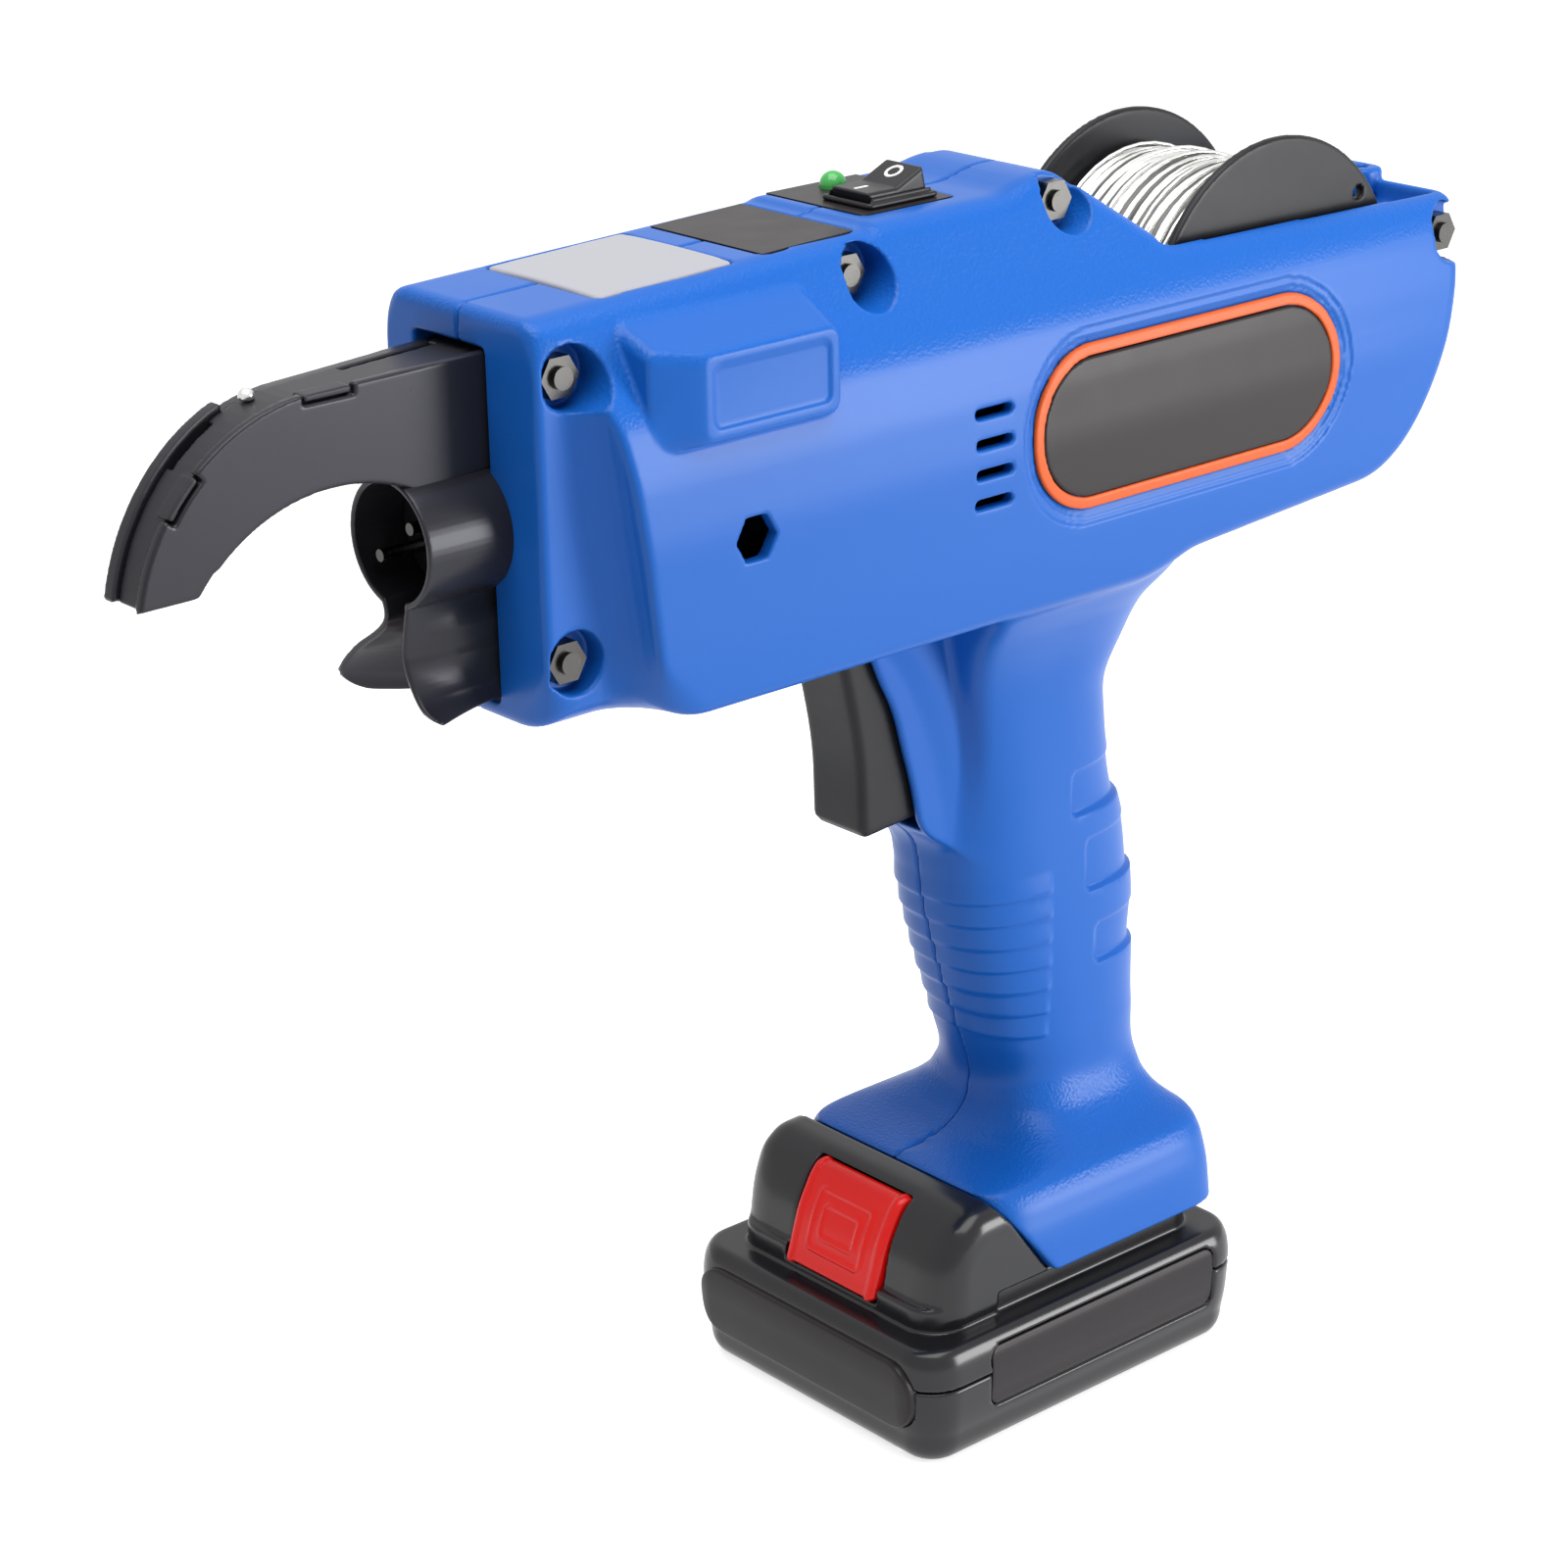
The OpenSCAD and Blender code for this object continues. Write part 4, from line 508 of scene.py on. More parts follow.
def loft(g, rings, base, height, depth, half):
    """A form whose sections are squared rounds, given at shares of a height."""
    rise, front, rear, wide, square = (np.array(column, float) for column in zip(*rings))
    z = np.clip(g.z, base, base + height)
    place = (z - base) / height
    low, high = along(place, rise, front * depth), along(place, rise, rear * depth)
    b, n = along(place, rise, wide * half), along(place, rise, square)
    a = (high - low) / 2
    u = abs(g.x - (low + high) / 2) / a + 1e-4
    v = abs(g.y) / b + 1e-4
    size = (u ** n + v ** n) ** (1 / n)
    slope = size ** (1 - n) * np.hypot(u ** (n - 1) / a, v ** (n - 1) / b)
    return (size - 1) / np.maximum(slope, 1e-3)


def toe_plane(g):
    """Distance in front of the slanting plane between the foot and the battery's hump."""
    run, rise = FOOT_TOE[0] - FOOT_LIP[0], FOOT_LIP[1] - FOOT_TOE[1]
    return ((FOOT_TOE[0] - g.x) * rise + (FOOT_TOE[1] - g.z) * run) / math.hypot(run, rise)


def grip_field(g):
    """The grip and its foot, running up into the body."""
    form = loft(g, GRIP_RINGS, FOOT_Z, GRIP_H, GRIP_DEPTH, GRIP_HALF)
    form = smax(form, slab(g.z, FOOT_Z, FOOT_Z + GRIP_H + GRIP_OVER), GRIP_EDGE)
    return smax(form, toe_plane(g), GRIP_EDGE)


# Housings
RIB_COUNT, RIB_FROM, RIB_PITCH, RIB_H, RIB_END = 7, 71, 5.2, 0.75, 8.8
PANELS = [(116.6, 126, 14.4), (100.1, 111.2, 18.2), (84, 92.5, 20.8)]  # low, high and front edge
PANEL_DEPTH, PANEL_LEAST, PANEL_R = 1.1, 0.3, 1.6
COVER_LOW, COVER_HIGH = np.array((-90, 216.8)), np.array((-59.5, 232.2))
COVER_FACE = SHELL_LOW[1]
RAKE_LOW, RAKE_HIGH = (2.2, 0.15), (0.2, 0.36)  # growth per length of depth, along X and Z
COVER_FRONT, COVER_R, COVER_DEEP = -98.8, 2.4, 13
COVER_RIM, COVER_SUNK, FACE_R = 2.3, 0.5, 1.6
CHEEK_HALF, CHEEK_SOFT = 9.7, 4
CHEEK = [(-34.5, 168), (-29.9, 155.1), (-25.7, 147), (-23.7, 139.4), (-21, 130), (-19.4, 121),
         (-13, 116), (2, 112), (2, 168)]
FINGER_HOLLOW = [(-60, 170), (-14.5, 170), (-13.1, 158), (-10.5, 147), (-9.2, 137), (-9.6, 126),
                 (-11.5, 113.5), (-20, 118), (-60, 120)]
LUG_X, LUG_HALF, LUG_RISE, LUG_DEEP, LUG_R, LUG_HOLE_R = (102.5, 109.8), 9.5, 2.6, 3, 3, 1.5
BAY_REAR, BAY_STEP = 106.8, 223
VENT_COUNT, VENT_X, VENT_Z, VENT_PITCH, VENT_R = 4, (-26, -16.8), 192.1, 5.6, 0.95
KEY_HOLE, KEY_R = (-77.8, 197.6), 4.6
MOUTH_LOW, MOUTH_HIGH = (-7.1, 170.5), (12.8, 233.3)
POCKET_R, POCKET_BACK, POCKET_ROOM, POCKET_FLAT = 5.2, 0.9, 0.5, 0.8
SCREW_R, BADGE_SEAT, SEAM_GAP = 1.8, 1.3, 0.03
BADGE_STEPS = [(3, 0.4), (1.4, 0.8), (0.2, BADGE_SEAT)]  # reach past the border and depth
BADGE_IN, BADGE_GAP, BADGE_SUNK, BORDER_SUNK = 3, 0.1, 0.3, 0.2
TOP_SEATS = [("window", 1.5), ("top_label", 1.5), ("switch_panel", 1.5), ("rocker_bezel", 1)]  # corners
SEAT_GAP, SEAT_DEEP = 0.15, 0.2
SLOT_SIDE, SLOT_BELOW, SLOT_ABOVE, SLOT_AHEAD, SLOT_REAR = 0.4, 1.5, 0.6, 12, -4
TOWER_GAP, TOWER_ABOVE, TOWER_BEHIND = 0.5, 0.6, 8
GRAIN_TOP, GRAIN_FOOT, GRAIN_END = (220, 223), (44, 47), 64


def pill(g, node):
    """A round-ended outline in a node's box, seen from the left."""
    low, high = box_of(node)
    return pad(g.x, g.z, low[[0, 2]], high[[0, 2]], (high[2] - low[2]) / 2 - 0.01)


def ribs(g):
    """How far the finger ribs stand out: each swells down to a ledge, and all end on one upright line."""
    step = (g.z - RIB_FROM) / RIB_PITCH
    within = (step > 0) & (step < RIB_COUNT)
    ledge = (1 - step % 1) * smooth(step % 1, 0, 0.16)
    return RIB_H * np.where(within, ledge, 0) * (1 - smooth(g.x, RIB_END - 1, RIB_END + 0.4))


def panels(g):
    """How far the thumb panels behind the grip are sunk, each deepest along its lower edge."""
    depth = 0
    for low, high, front in PANELS:
        shape = pad(g.x, g.z, (front, low), (front + GRIP_DEPTH, high), PANEL_R)
        deep = PANEL_LEAST + (1 - PANEL_LEAST) * np.clip((high - g.z) / (high - low), 0, 1)
        depth = depth + PANEL_DEPTH * deep * (1 - smooth(shape, -0.3, 0.3))
    return depth


def cover(g):
    """The raised cover on the left: a long sloping front, a roof up to the deck and a sunk face."""
    back = np.maximum(g.y - COVER_FACE, 0)
    front = np.maximum(COVER_LOW[0] - RAKE_LOW[0] * back, COVER_FRONT)
    low = (front, COVER_LOW[1] - RAKE_LOW[1] * back)
    high = (COVER_HIGH[0] + RAKE_HIGH[0] * back, COVER_HIGH[1] + RAKE_HIGH[1] * back)
    form = smax(pad(g.x, g.z, low, high, COVER_R), COVER_FACE - g.y, 0.7)
    form = both(form, g.y + HALF_W - COVER_DEEP)
    face = pad(g.x, g.z, COVER_LOW + COVER_RIM, COVER_HIGH - COVER_RIM, FACE_R)
    return form + COVER_SUNK * (1 - smooth(face, -0.35, 0.35))


def trigger_cheeks(g, grip):
    """The grip beside the trigger, hollowed for the finger, with a thin cheek over the trigger's back."""
    half = abs(g.y)
    hollow = both(outline(g.x, g.z, softened(FINGER_HOLLOW, 6)), CHEEK_HALF - half)
    cheek = smax(outline(g.x, g.z, softened(CHEEK, CHEEK_SOFT)), half - CHEEK_HALF, 1.0)
    return smin(smax(grip, -hollow, CHEEK_SOFT), cheek, CHEEK_SOFT)


def rear_lug(g):
    """A low lug with two holes on the seam of the rear rim."""
    block = pad(g.x, g.y, (LUG_X[0], -LUG_HALF), (LUG_X[1], LUG_HALF), LUG_R)
    form = smax(block, slab(g.z, RIM_REAR[1] - LUG_DEEP, RIM_REAR[1] + LUG_RISE), 1.2)
    hole = rod(g.x, abs(g.y), ((LUG_X[0] + LUG_X[1]) / 2, LUG_HALF * 0.55), LUG_HOLE_R)
    return without(form, both(hole, RIM_REAR[1] - 1 - g.z))


def pockets(g, side):
    """Scooped pockets for the nuts on the left and the screw heads on the right."""
    scoops = []
    for x, z, seat in SCREWS:
        round_part = rod(g.x, g.z, (x + POCKET_BACK, z), POCKET_R + POCKET_ROOM)
        form = smax(round_part, x - POCKET_R + POCKET_FLAT - g.x, 0.6)
        scoops.append(both(form, seat - side * g.y))
    return either(*scoops)


def screw_lines(g, radius):
    """Bars along the case screws."""
    return either(*[rod(g.x, g.z, (x, z), radius) for x, z, _ in SCREWS])


def spool_bay(g):
    """The room round the spool, open to the top."""
    above = both(abs(g.x - SPOOL_X) - BAY_R, SPOOL_Z - g.z)
    return both(smin(rod(g.x, g.z, (SPOOL_X, SPOOL_Z), BAY_R), above, 0.1), abs(g.y) - BAY_HALF)


def bay_step(g):
    """The shallow room between the spool's bay and the rear rim."""
    return both(slab(g.x, SPOOL_X, BAY_REAR), BAY_STEP - g.z, abs(g.y) - BAY_HALF)


def badge_recess(g, body):
    """The badge's seat, with two fine steps round it."""
    border = pill(g, "left_badge_border")
    return either(*[without(border - reach, body + depth) for reach, depth in BADGE_STEPS])


def vents(g):
    """The round-ended slots in the side, one after the other."""
    for i in range(VENT_COUNT):
        z = VENT_Z + VENT_PITCH * i
        slot = pad(g.x, g.z, (VENT_X[0], z - VENT_R), (VENT_X[1], z + VENT_R), VENT_R - 0.01)
        yield both(slot, HALF_W - 2 * WALL - abs(g.y))


def key_hole(g):
    """The hexagonal key hole in the left side."""
    return both(outline(g.x, g.z, arc(KEY_HOLE, KEY_R, 0, 300, 6)), g.y + HALF_W - 2 * WALL)


def jaw_mouth(g):
    """The opening in the nose that the jaw and the guide come out of."""
    return both(pad(g.y, g.z, MOUTH_LOW, MOUTH_HIGH, 1), g.x - BODY_FRONT - NOSE_LEN)


def top_seats(g):
    """Seats in the top for the window, the plates and the switch."""
    seats = []
    for node, corner in TOP_SEATS:
        low, high = box_of(node)
        seat = pad(g.x, g.y, low[:2] - SEAT_GAP, high[:2] + SEAT_GAP, corner)
        seats.append(both(seat, low[2] - SEAT_DEEP - g.z))
    return either(*seats)


def trigger_slot(g):
    """The slot that the trigger moves in."""
    low, high = box_of("trigger")
    tall = slab(g.z, low[2] - SLOT_BELOW, high[2] + SLOT_ABOVE)
    return both(abs(g.y) - high[1] - SLOT_SIDE, tall, slab(g.x, low[0] - SLOT_AHEAD, SLOT_REAR))


def tower_room(g):
    """Room in the foot for the battery's tower, open to the front."""
    rear, half = TOWER_HIGH
    return both(abs(g.y) - half - TOWER_GAP, g.z - TOWER_TOP - TOWER_ABOVE, g.x - rear - TOWER_BEHIND)


def housing_field(g, side):
    """One half of the clamshell: -1 is the left half."""
    body = body_field(g)
    grip = trigger_cheeks(g, grip_field(g) - ribs(g) + panels(g))
    form = smin(body, grip, GRIP_ROOT)
    if side < 0:
        form = smin(form, cover(g), 1.0)
    lowered = SimpleNamespace(x=g.x, y=g.y, z=g.z + np.float32(WALL))
    hollow = either(body, both(grip, grip_field(lowered))) + WALL
    bay, scoops = spool_bay(g), pockets(g, side)
    linings = either(bay - WALL / 2, scoops - WALL * 0.7, screw_lines(g, POCKET_R))
    shell = either(without(form, hollow), both(form, linings))
    shell = smax(shell, -either(bay, bay_step(g)), 0.8)
    shell = without(either(shell, rear_lug(g)), badge_recess(g, body))
    shell = smax(shell, -jaw_mouth(g), 0.5)
    for slot in vents(g):
        shell = smax(shell, -slot, 0.2)
    if side < 0:
        shell = smax(shell, -key_hole(g), 0.15)
    shell = smax(shell, -scoops, 0.4)
    shell = without(shell, screw_lines(g, SCREW_R), top_seats(g))
    shell = without(smax(shell, -trigger_slot(g), 0.8), tower_room(g))
    return smax(shell, SEAM_GAP - side * g.y, 0.35)


def shoulder_grain(points, normals):
    """Where the moulded grain lies: on the sloping shoulders and on the foot's shoulder."""
    z, up = points[:, 2], normals[:, 2]
    top = smooth(z, *GRAIN_TOP) * smooth(0.95 - up, 0, 0.05) * smooth(up, 0.1, 0.25)
    foot = smooth(z, *GRAIN_FOOT) * smooth(GRAIN_END - z, 0, 4) * smooth(up, 0.1, 0.3)
    return np.clip(top + foot, 0, 1)


def housing(node, side):
    """One half of the clamshell."""
    g = Grid(*box_of(node), 0.62)
    form = housing_field(g, side)
    mould(node + "_moulding", g, form, 150000, "tool", "housing_blue", node, marks=shoulder_grain)


def badge(node, side):
    """A side's badge and its border, which follow the body's skin."""
    low, high = box_of(node + "_border")
    inner = side * (HALF_W - BADGE_IN)
    low[1], high[1] = min(low[1], inner), max(high[1], inner)
    g = Grid(low, high, 0.45)
    skin, plate = body_field(g), pill(g, "left_badge")
    border = without(pill(g, "left_badge_border"), plate)
    for name, slot, form, sunk in ((node, "label_black", plate + BADGE_GAP, BADGE_SUNK),
                                   (node + "_border", "badge_orange", border, BORDER_SUNK)):
        piece = without(smax(form, skin + sunk, 0.3), skin + BADGE_SEAT)
        mould(name + "_skin", g, piece, 30000, "tool", slot, name)


for half, side in (("left", -1), ("right", 1)):
    housing(half + "_housing", side)
    badge(half + "_badge", side)


# Jaw: a near plate, a core with a wire slot and a far plate that leans in towards the tip
NEAR_LOW, NEAR_HIGH = box_of("jaw_near_plate")
CORE_LOW, CORE_HIGH = box_of("jaw_core")
FAR_LOW, FAR_HIGH = box_of("jaw_far_plate")
JAW_REACH, TIP_W, TIP_Z = 68, 10.3, NEAR_LOW[2]
BEND_R, THROAT_R = 37, 34.5
BEND = (BODY_FRONT - JAW_REACH + BEND_R - 2, NEAR_HIGH[2] - BEND_R - 0.5)
THROAT = (BODY_FRONT - JAW_REACH + TIP_W + 0.78 * THROAT_R, TIP_Z - 0.626 * THROAT_R)
JAW_SOLE = AXIS_Z + 11.7
JAW_LEAN, FAR_T, CORE_INSET = math.radians(6.4), 3.2, 1
TIP_CUT = ((-173.6, 202.6), (-170.3, 206.3))
TOP_NOTCH, NOTCH_DEEP = (-151.4, -141.3), 2.3
BEND_NOTCH, BEND_DEEP = (130.5, 144.5), 1.9  # degrees round the bend, and depth
TAB_INSET, TAB_GAP, TAB_Y = 0.25, 0.45, (NEAR_LOW[1] + 0.4, NEAR_HIGH[1] + 2)
WIRE_SLOT, WIRE_IN, WIRE_DEEP = (-136, -115), 2.4, 6
BEND_SLOT, BEND_IN, BEND_SLOT_D = (114, 131), 1.6, 4
STRIP_END, STRIP_RISE = -160, 0.4
RIVET = np.array((-156.2, 2.6, NEAR_HIGH[2] - CORE_INSET - 0.5))
RIVET_R, RIVET_BELOW, JAW_GRID = 1.4, 0.6, 0.42


def jaw_side(inset):
    """The jaw's outline seen from the left."""
    root = NEAR_HIGH[0]
    tip = 180 - math.degrees(math.asin((TIP_Z - BEND[1]) / BEND_R))
    throat = 180 - math.degrees(math.asin((TIP_Z - THROAT[1]) / THROAT_R))
    points = [(root, JAW_SOLE), (root, NEAR_HIGH[2] - inset), (BODY_FRONT, NEAR_HIGH[2] - inset)]
    points += arc(BEND, BEND_R - inset, 92, tip, 20)
    return points + arc(THROAT, THROAT_R, throat, 62, 20)


def jaw_form(g, inset):
    """The jaw seen from the left, with the cut corner at the inside of its tip."""
    (ax, az), (bx, bz) = TIP_CUT
    corner = ((g.x - ax) * (bz - az) - (g.z - az) * (bx - ax)) / math.hypot(bx - ax, bz - az)
    return smax(outline(g.x, g.z, jaw_side(inset)), either(corner, bz - g.z), 0.8)


def turn_slab(g, low, high, depth):
    """A stretch of the outer bend between two angles, down to a depth."""
    angle = np.degrees(np.arctan2(g.z - BEND[1], g.x - BEND[0]))
    reach = np.hypot(g.x - BEND[0], g.z - BEND[1])
    return both(slab(angle, low, high) * math.radians(1) * BEND_R, BEND_R - depth - reach)


def jaw_notches(g, grow):
    """The two notches in the near plate's edge that the core's tabs stand in."""
    top = both(slab(g.x, TOP_NOTCH[0] - grow, TOP_NOTCH[1] + grow), NEAR_HIGH[2] - NOTCH_DEEP - grow - g.z)
    turn = math.degrees(grow / BEND_R)
    return either(top, turn_slab(g, BEND_NOTCH[0] - turn, BEND_NOTCH[1] + turn, BEND_DEEP + grow))


def far_face(g, inset):
    """Distance past the leaning plane of the far plate's outer face, moved in."""
    return (g.y - FAR_HIGH[1]) * math.cos(JAW_LEAN) - (g.x - BODY_FRONT) * math.sin(JAW_LEAN) + inset


def near_plate():
    """The flat plate on the left, notched along its outer edge."""
    g = Grid(NEAR_LOW, NEAR_HIGH, JAW_GRID)
    form = without(jaw_form(g, 0), jaw_notches(g, 0))
    form = smax(form, slab(g.y, NEAR_LOW[1], NEAR_HIGH[1]), 0.5)
    mould("near_plate", g, form, 40000, "tool", "jaw_steel", "jaw_near_plate")


def core_strip():
    """The core, with its tabs and the two slots for the wire."""
    g = Grid(CORE_LOW + [0, -2, 0], CORE_HIGH, JAW_GRID)
    core = smax(jaw_form(g, CORE_INSET), both(NEAR_HIGH[1] - g.y, far_face(g, FAR_T)), 0.4)
    tabs = both(jaw_form(g, TAB_INSET), jaw_notches(g, -TAB_GAP), slab(g.y, *TAB_Y))
    slot = both(slab(g.x, *WIRE_SLOT), NEAR_HIGH[2] - WIRE_DEEP - g.z)
    slot = without(slot, far_face(g, FAR_T + WIRE_IN))
    bend = without(turn_slab(g, *BEND_SLOT, BEND_SLOT_D), far_face(g, FAR_T + BEND_IN))
    form = without(either(core, tabs), slot, bend)
    mould("core_strip", g, form, 50000, "tool", "core_steel", "jaw_core")


def far_plate():
    """The leaning plate on the right, lower behind the strip at its tip."""
    g = Grid(FAR_LOW, FAR_HIGH, JAW_GRID)
    form = either(both(jaw_form(g, 0), g.x - STRIP_END), jaw_form(g, CORE_INSET + STRIP_RISE))
    form = smax(form, without(far_face(g, 0), far_face(g, FAR_T)), 0.6)
    mould("far_plate", g, form, 40000, "tool", "jaw_steel", "jaw_far_plate")


def jaw_rivet():
    """The bright round head on top of the bend."""
    g = Grid(RIVET - RIVET_R - 0.2, RIVET + RIVET_R + 0.2, 0.2)
    x, y, z = RIVET
    head = np.sqrt((g.x - x) ** 2 + (g.y - y) ** 2 + (g.z - z) ** 2) - RIVET_R
    mould("jaw_rivet", g, both(head, z - RIVET_BELOW - g.z), 90000, "tool", "bright_steel")


near_plate()
core_strip()
far_plate()
jaw_rivet()


# Lower guide: one sheet bent to a keyhole tube with two flared lips
GUIDE_LOW, GUIDE_HIGH = box_of("lower_guide")
GUIDE_T, GUIDE_R = 1.2, 11.6
LIP_LOW = GUIDE_LOW[2] + 0.1
LIP_END = BODY_FRONT + 5
NEAR_LIP = [(-5.6, 191.4), (-4.4, 186), (-4.0, 181.2), (-7.3, 175.2), (-12.6, LIP_LOW)]
FAR_LIP = [(1.0, 190.9), (0.8, 188), (3.6, 185), (10.9, 180.2), (16.2, 175), (17.1, LIP_LOW)]
NEAR_SEAT, FAR_SEAT, NEAR_CORNER, FAR_CORNER = -6.4, 3, 3, 5
LIP_FADE, FLARE_POWER = 6, 1.5


def lip(g, start, points, seat, corner):
    """One lip: flared at its front edge and upright where it enters the nose."""
    lean = np.interp(g.z, [z for _, z in points[::-1]], [y for y, _ in points[::-1]])
    flare = np.clip((BODY_FRONT - g.x) / (BODY_FRONT - GUIDE_LOW[0]), 0, 1) ** FLARE_POWER
    moved = g.y + (1 - flare) * (lean - seat) * smooth(points[0][1] - g.z, 0, LIP_FADE)
    form = sheet(moved, g.z, curve([start, *points]), GUIDE_T)
    return both(form, pad(g.x, g.z, (GUIDE_LOW[0], LIP_LOW), (LIP_END, AXIS_Z), corner))


def lower_guide():
    """The keyhole tube and its lips."""
    g = Grid(GUIDE_LOW, GUIDE_HIGH, 0.36)
    round_part = arc((AXIS_Y, AXIS_Z), GUIDE_R - GUIDE_T / 2, -110, -430, 60)
    tube = both(sheet(g.y, g.z, round_part, GUIDE_T), slab(g.x, GUIDE_LOW[0], GUIDE_HIGH[0]))
    near = lip(g, round_part[0], NEAR_LIP, NEAR_SEAT, NEAR_CORNER)
    far = lip(g, round_part[-1], FAR_LIP, FAR_SEAT, FAR_CORNER)
    form = smax(either(tube, near, far), GUIDE_LOW[0] - g.x, 0.5)
    mould("guide_sheet", g, form, 60000, "tool", "jaw_steel", "lower_guide")


lower_guide()


# Spool and its wire
FLANGE_T, HUB_R, BORE_R = 2, 12, 7
HOLE_RING, HOLE_R = 30.5, 1.3
WIRE_R, WIRE_LAYER = 0.42, 26.0
WIND_HALF = SPOOL_HALF - FLANGE_T - 1
WIND_TURNS, CROSS_TURNS, TURN_POINTS = 40, 7, 40
WIND_SWELL, WIND_WOBBLE = 0.9, 0.25


def spool():
    """Two flanges on a hub, each with three small holes for the wire's end."""
    g = Grid(SPOOL_LOW, SPOOL_HIGH, 0.6)
    reach = np.hypot(g.x - SPOOL_X, g.z - SPOOL_Z)
    out = abs(g.y)
    flange = smax(reach - SPOOL_R, slab(out, SPOOL_HALF - FLANGE_T, SPOOL_HALF), 0.8)
    form = both(smin(flange, both(reach - HUB_R, out - SPOOL_HALF), 0.8), BORE_R - reach)
    for place in arc((SPOOL_X, SPOOL_Z), HOLE_RING, 40, 280, 3):
        form = without(form, rod(g.x, g.z, place, HOLE_R))
    mould("spool_flanges", g, form, 50000, "spool", "spool_black", "wire_spool")


def wire_turns(turns, layer, wave):
    """A path of wire round the spool from side to side, a little uneven."""
    t = np.linspace(0, 1, turns * TURN_POINTS)
    angle = 2 * math.pi * turns * t
    side = WIND_HALF * (2 * t - 1) + wave * np.sin(0.37 * angle) * np.minimum(1, 6 * np.minimum(t, 1 - t))
    reach = layer + WIND_SWELL * (1 - (side / WIND_HALF) ** 2) + WIND_WOBBLE * np.sin(1.7 * angle + 5 * t)
    return np.stack([SPOOL_X + reach * np.cos(angle), side, SPOOL_Z + reach * np.sin(angle)], axis=1)


def tube(name, path, radius, sides=6):
    """A round wire along a path round the spool."""
    ahead = np.gradient(path, axis=0)
    ahead /= np.linalg.norm(ahead, axis=1, keepdims=True)
    out = path - np.array((SPOOL_X, 0, SPOOL_Z))
    out[:, 1] = 0
    out /= np.linalg.norm(out, axis=1, keepdims=True)
    across = np.cross(ahead, out)
    turns = 2 * math.pi * np.arange(sides) / sides
    rings = np.stack([path + radius * (math.cos(t) * out + math.sin(t) * across) for t in turns], axis=1)
    first = sides * np.arange(len(path) - 1)[:, None]
    this = np.arange(sides)
    after = (this + 1) % sides
    faces = np.stack([first + this, first + after, first + sides + after, first + sides + this], axis=-1)
    return add_mesh(name, rings.reshape(-1, 3), faces.reshape(-1, 4))


def winding():
    """The outer layer of wire, with a few looser turns that cross it."""
    lower = wire_turns(WIND_TURNS, WIRE_LAYER, 0.5)
    upper = wire_turns(CROSS_TURNS, WIRE_LAYER + 2.1 * WIRE_R, 3.5)[::-1]
    dress(tube("wire_turns", np.concatenate([lower, upper]), WIRE_R), "spool", "tie_wire", "wire_winding")


spool()
winding()


# Trigger
TRIGGER_TOE, TRIGGER_TRAVEL, SPRING_ROOM = -32.4, 6, 0.7


def trigger():
    """A finger-wide trigger with a hollow front, a slanted lower end and a bore for its spring."""
    (x0, y0, z0), (x1, y1, z1) = box_of("trigger")
    g = Grid((x0, y0, z0), (x1, y1, z1), 0.5)
    front = curve([(x0, z1), (x0 + 3.1, z1 - 12), (x0 + 5.6, z0 + 16), (TRIGGER_TOE, z0 + 1.6)])
    side = outline(g.x, g.z, [(x1, z1)] + front + [(TRIGGER_TOE + 1.4, z0), (x1, z0 + 1.5)])
    form = smax(side, abs(g.y) - y1, 2)
    low, high = box_of("trigger_spring")
    bore = rod(g.y, g.z, (low[1:] + high[1:]) / 2, (high[1] - low[1]) / 2 + SPRING_ROOM)
    form = without(form, both(bore, low[0] - TRIGGER_TRAVEL - SPRING_ROOM - g.x))
    mould("trigger_moulding", g, form, 30000, "trigger", "trigger_black", "trigger")


trigger()


# Rocker switch, its marks, and the window
DECK_SWITCH = np.array((-22, -2.7))
ROCKER_LOW, ROCKER_HIGH = box_of("rocker")
ROCKER_PIVOT, ROCKER_TILT = DECK_TOP + 1, math.radians(12)
ROCKER_L, ROCKER_W, ROCKER_RISE, ROCKER_DIP, ROCKER_UNDER = 6.9, 5.1, 3.2, 1.7, -2
MARK_RISE, MARK_DEEP, MARK_AT = 0.12, 0.3, 4.1
LINE_L, LINE_W, RING_R, RING_W = 1.6, 0.38, 1.5, 0.36
BEZEL_STEP, WELL_ROOM, WELL_DEEP = 0.9, (0.7, 0.35), 6.8
WINDOW_CROWN = 0.35


def rocker_frame(g):
    """Places along, across and above the tilted rocker."""
    dx, dz = g.x - DECK_SWITCH[0], g.z - ROCKER_PIVOT
    cos, sin = math.cos(ROCKER_TILT), math.sin(ROCKER_TILT)
    return dx * cos + dz * sin, g.y - DECK_SWITCH[1], dz * cos - dx * sin


def rocker():
    """The rocker's cap, dipped in the middle."""
    g = Grid(ROCKER_LOW, ROCKER_HIGH, 0.3)
    u, v, w = rocker_frame(g)
    top = [(ROCKER_L, ROCKER_RISE), (0, ROCKER_DIP), (-ROCKER_L, ROCKER_RISE)]
    side = outline(u, w, [(-ROCKER_L, ROCKER_UNDER), (ROCKER_L, ROCKER_UNDER), *top])
    cap = smax(side, abs(v) - ROCKER_W, 0.8)
    mould("rocker_cap", g, cap, 20000, "rocker", "switch_black", "rocker")


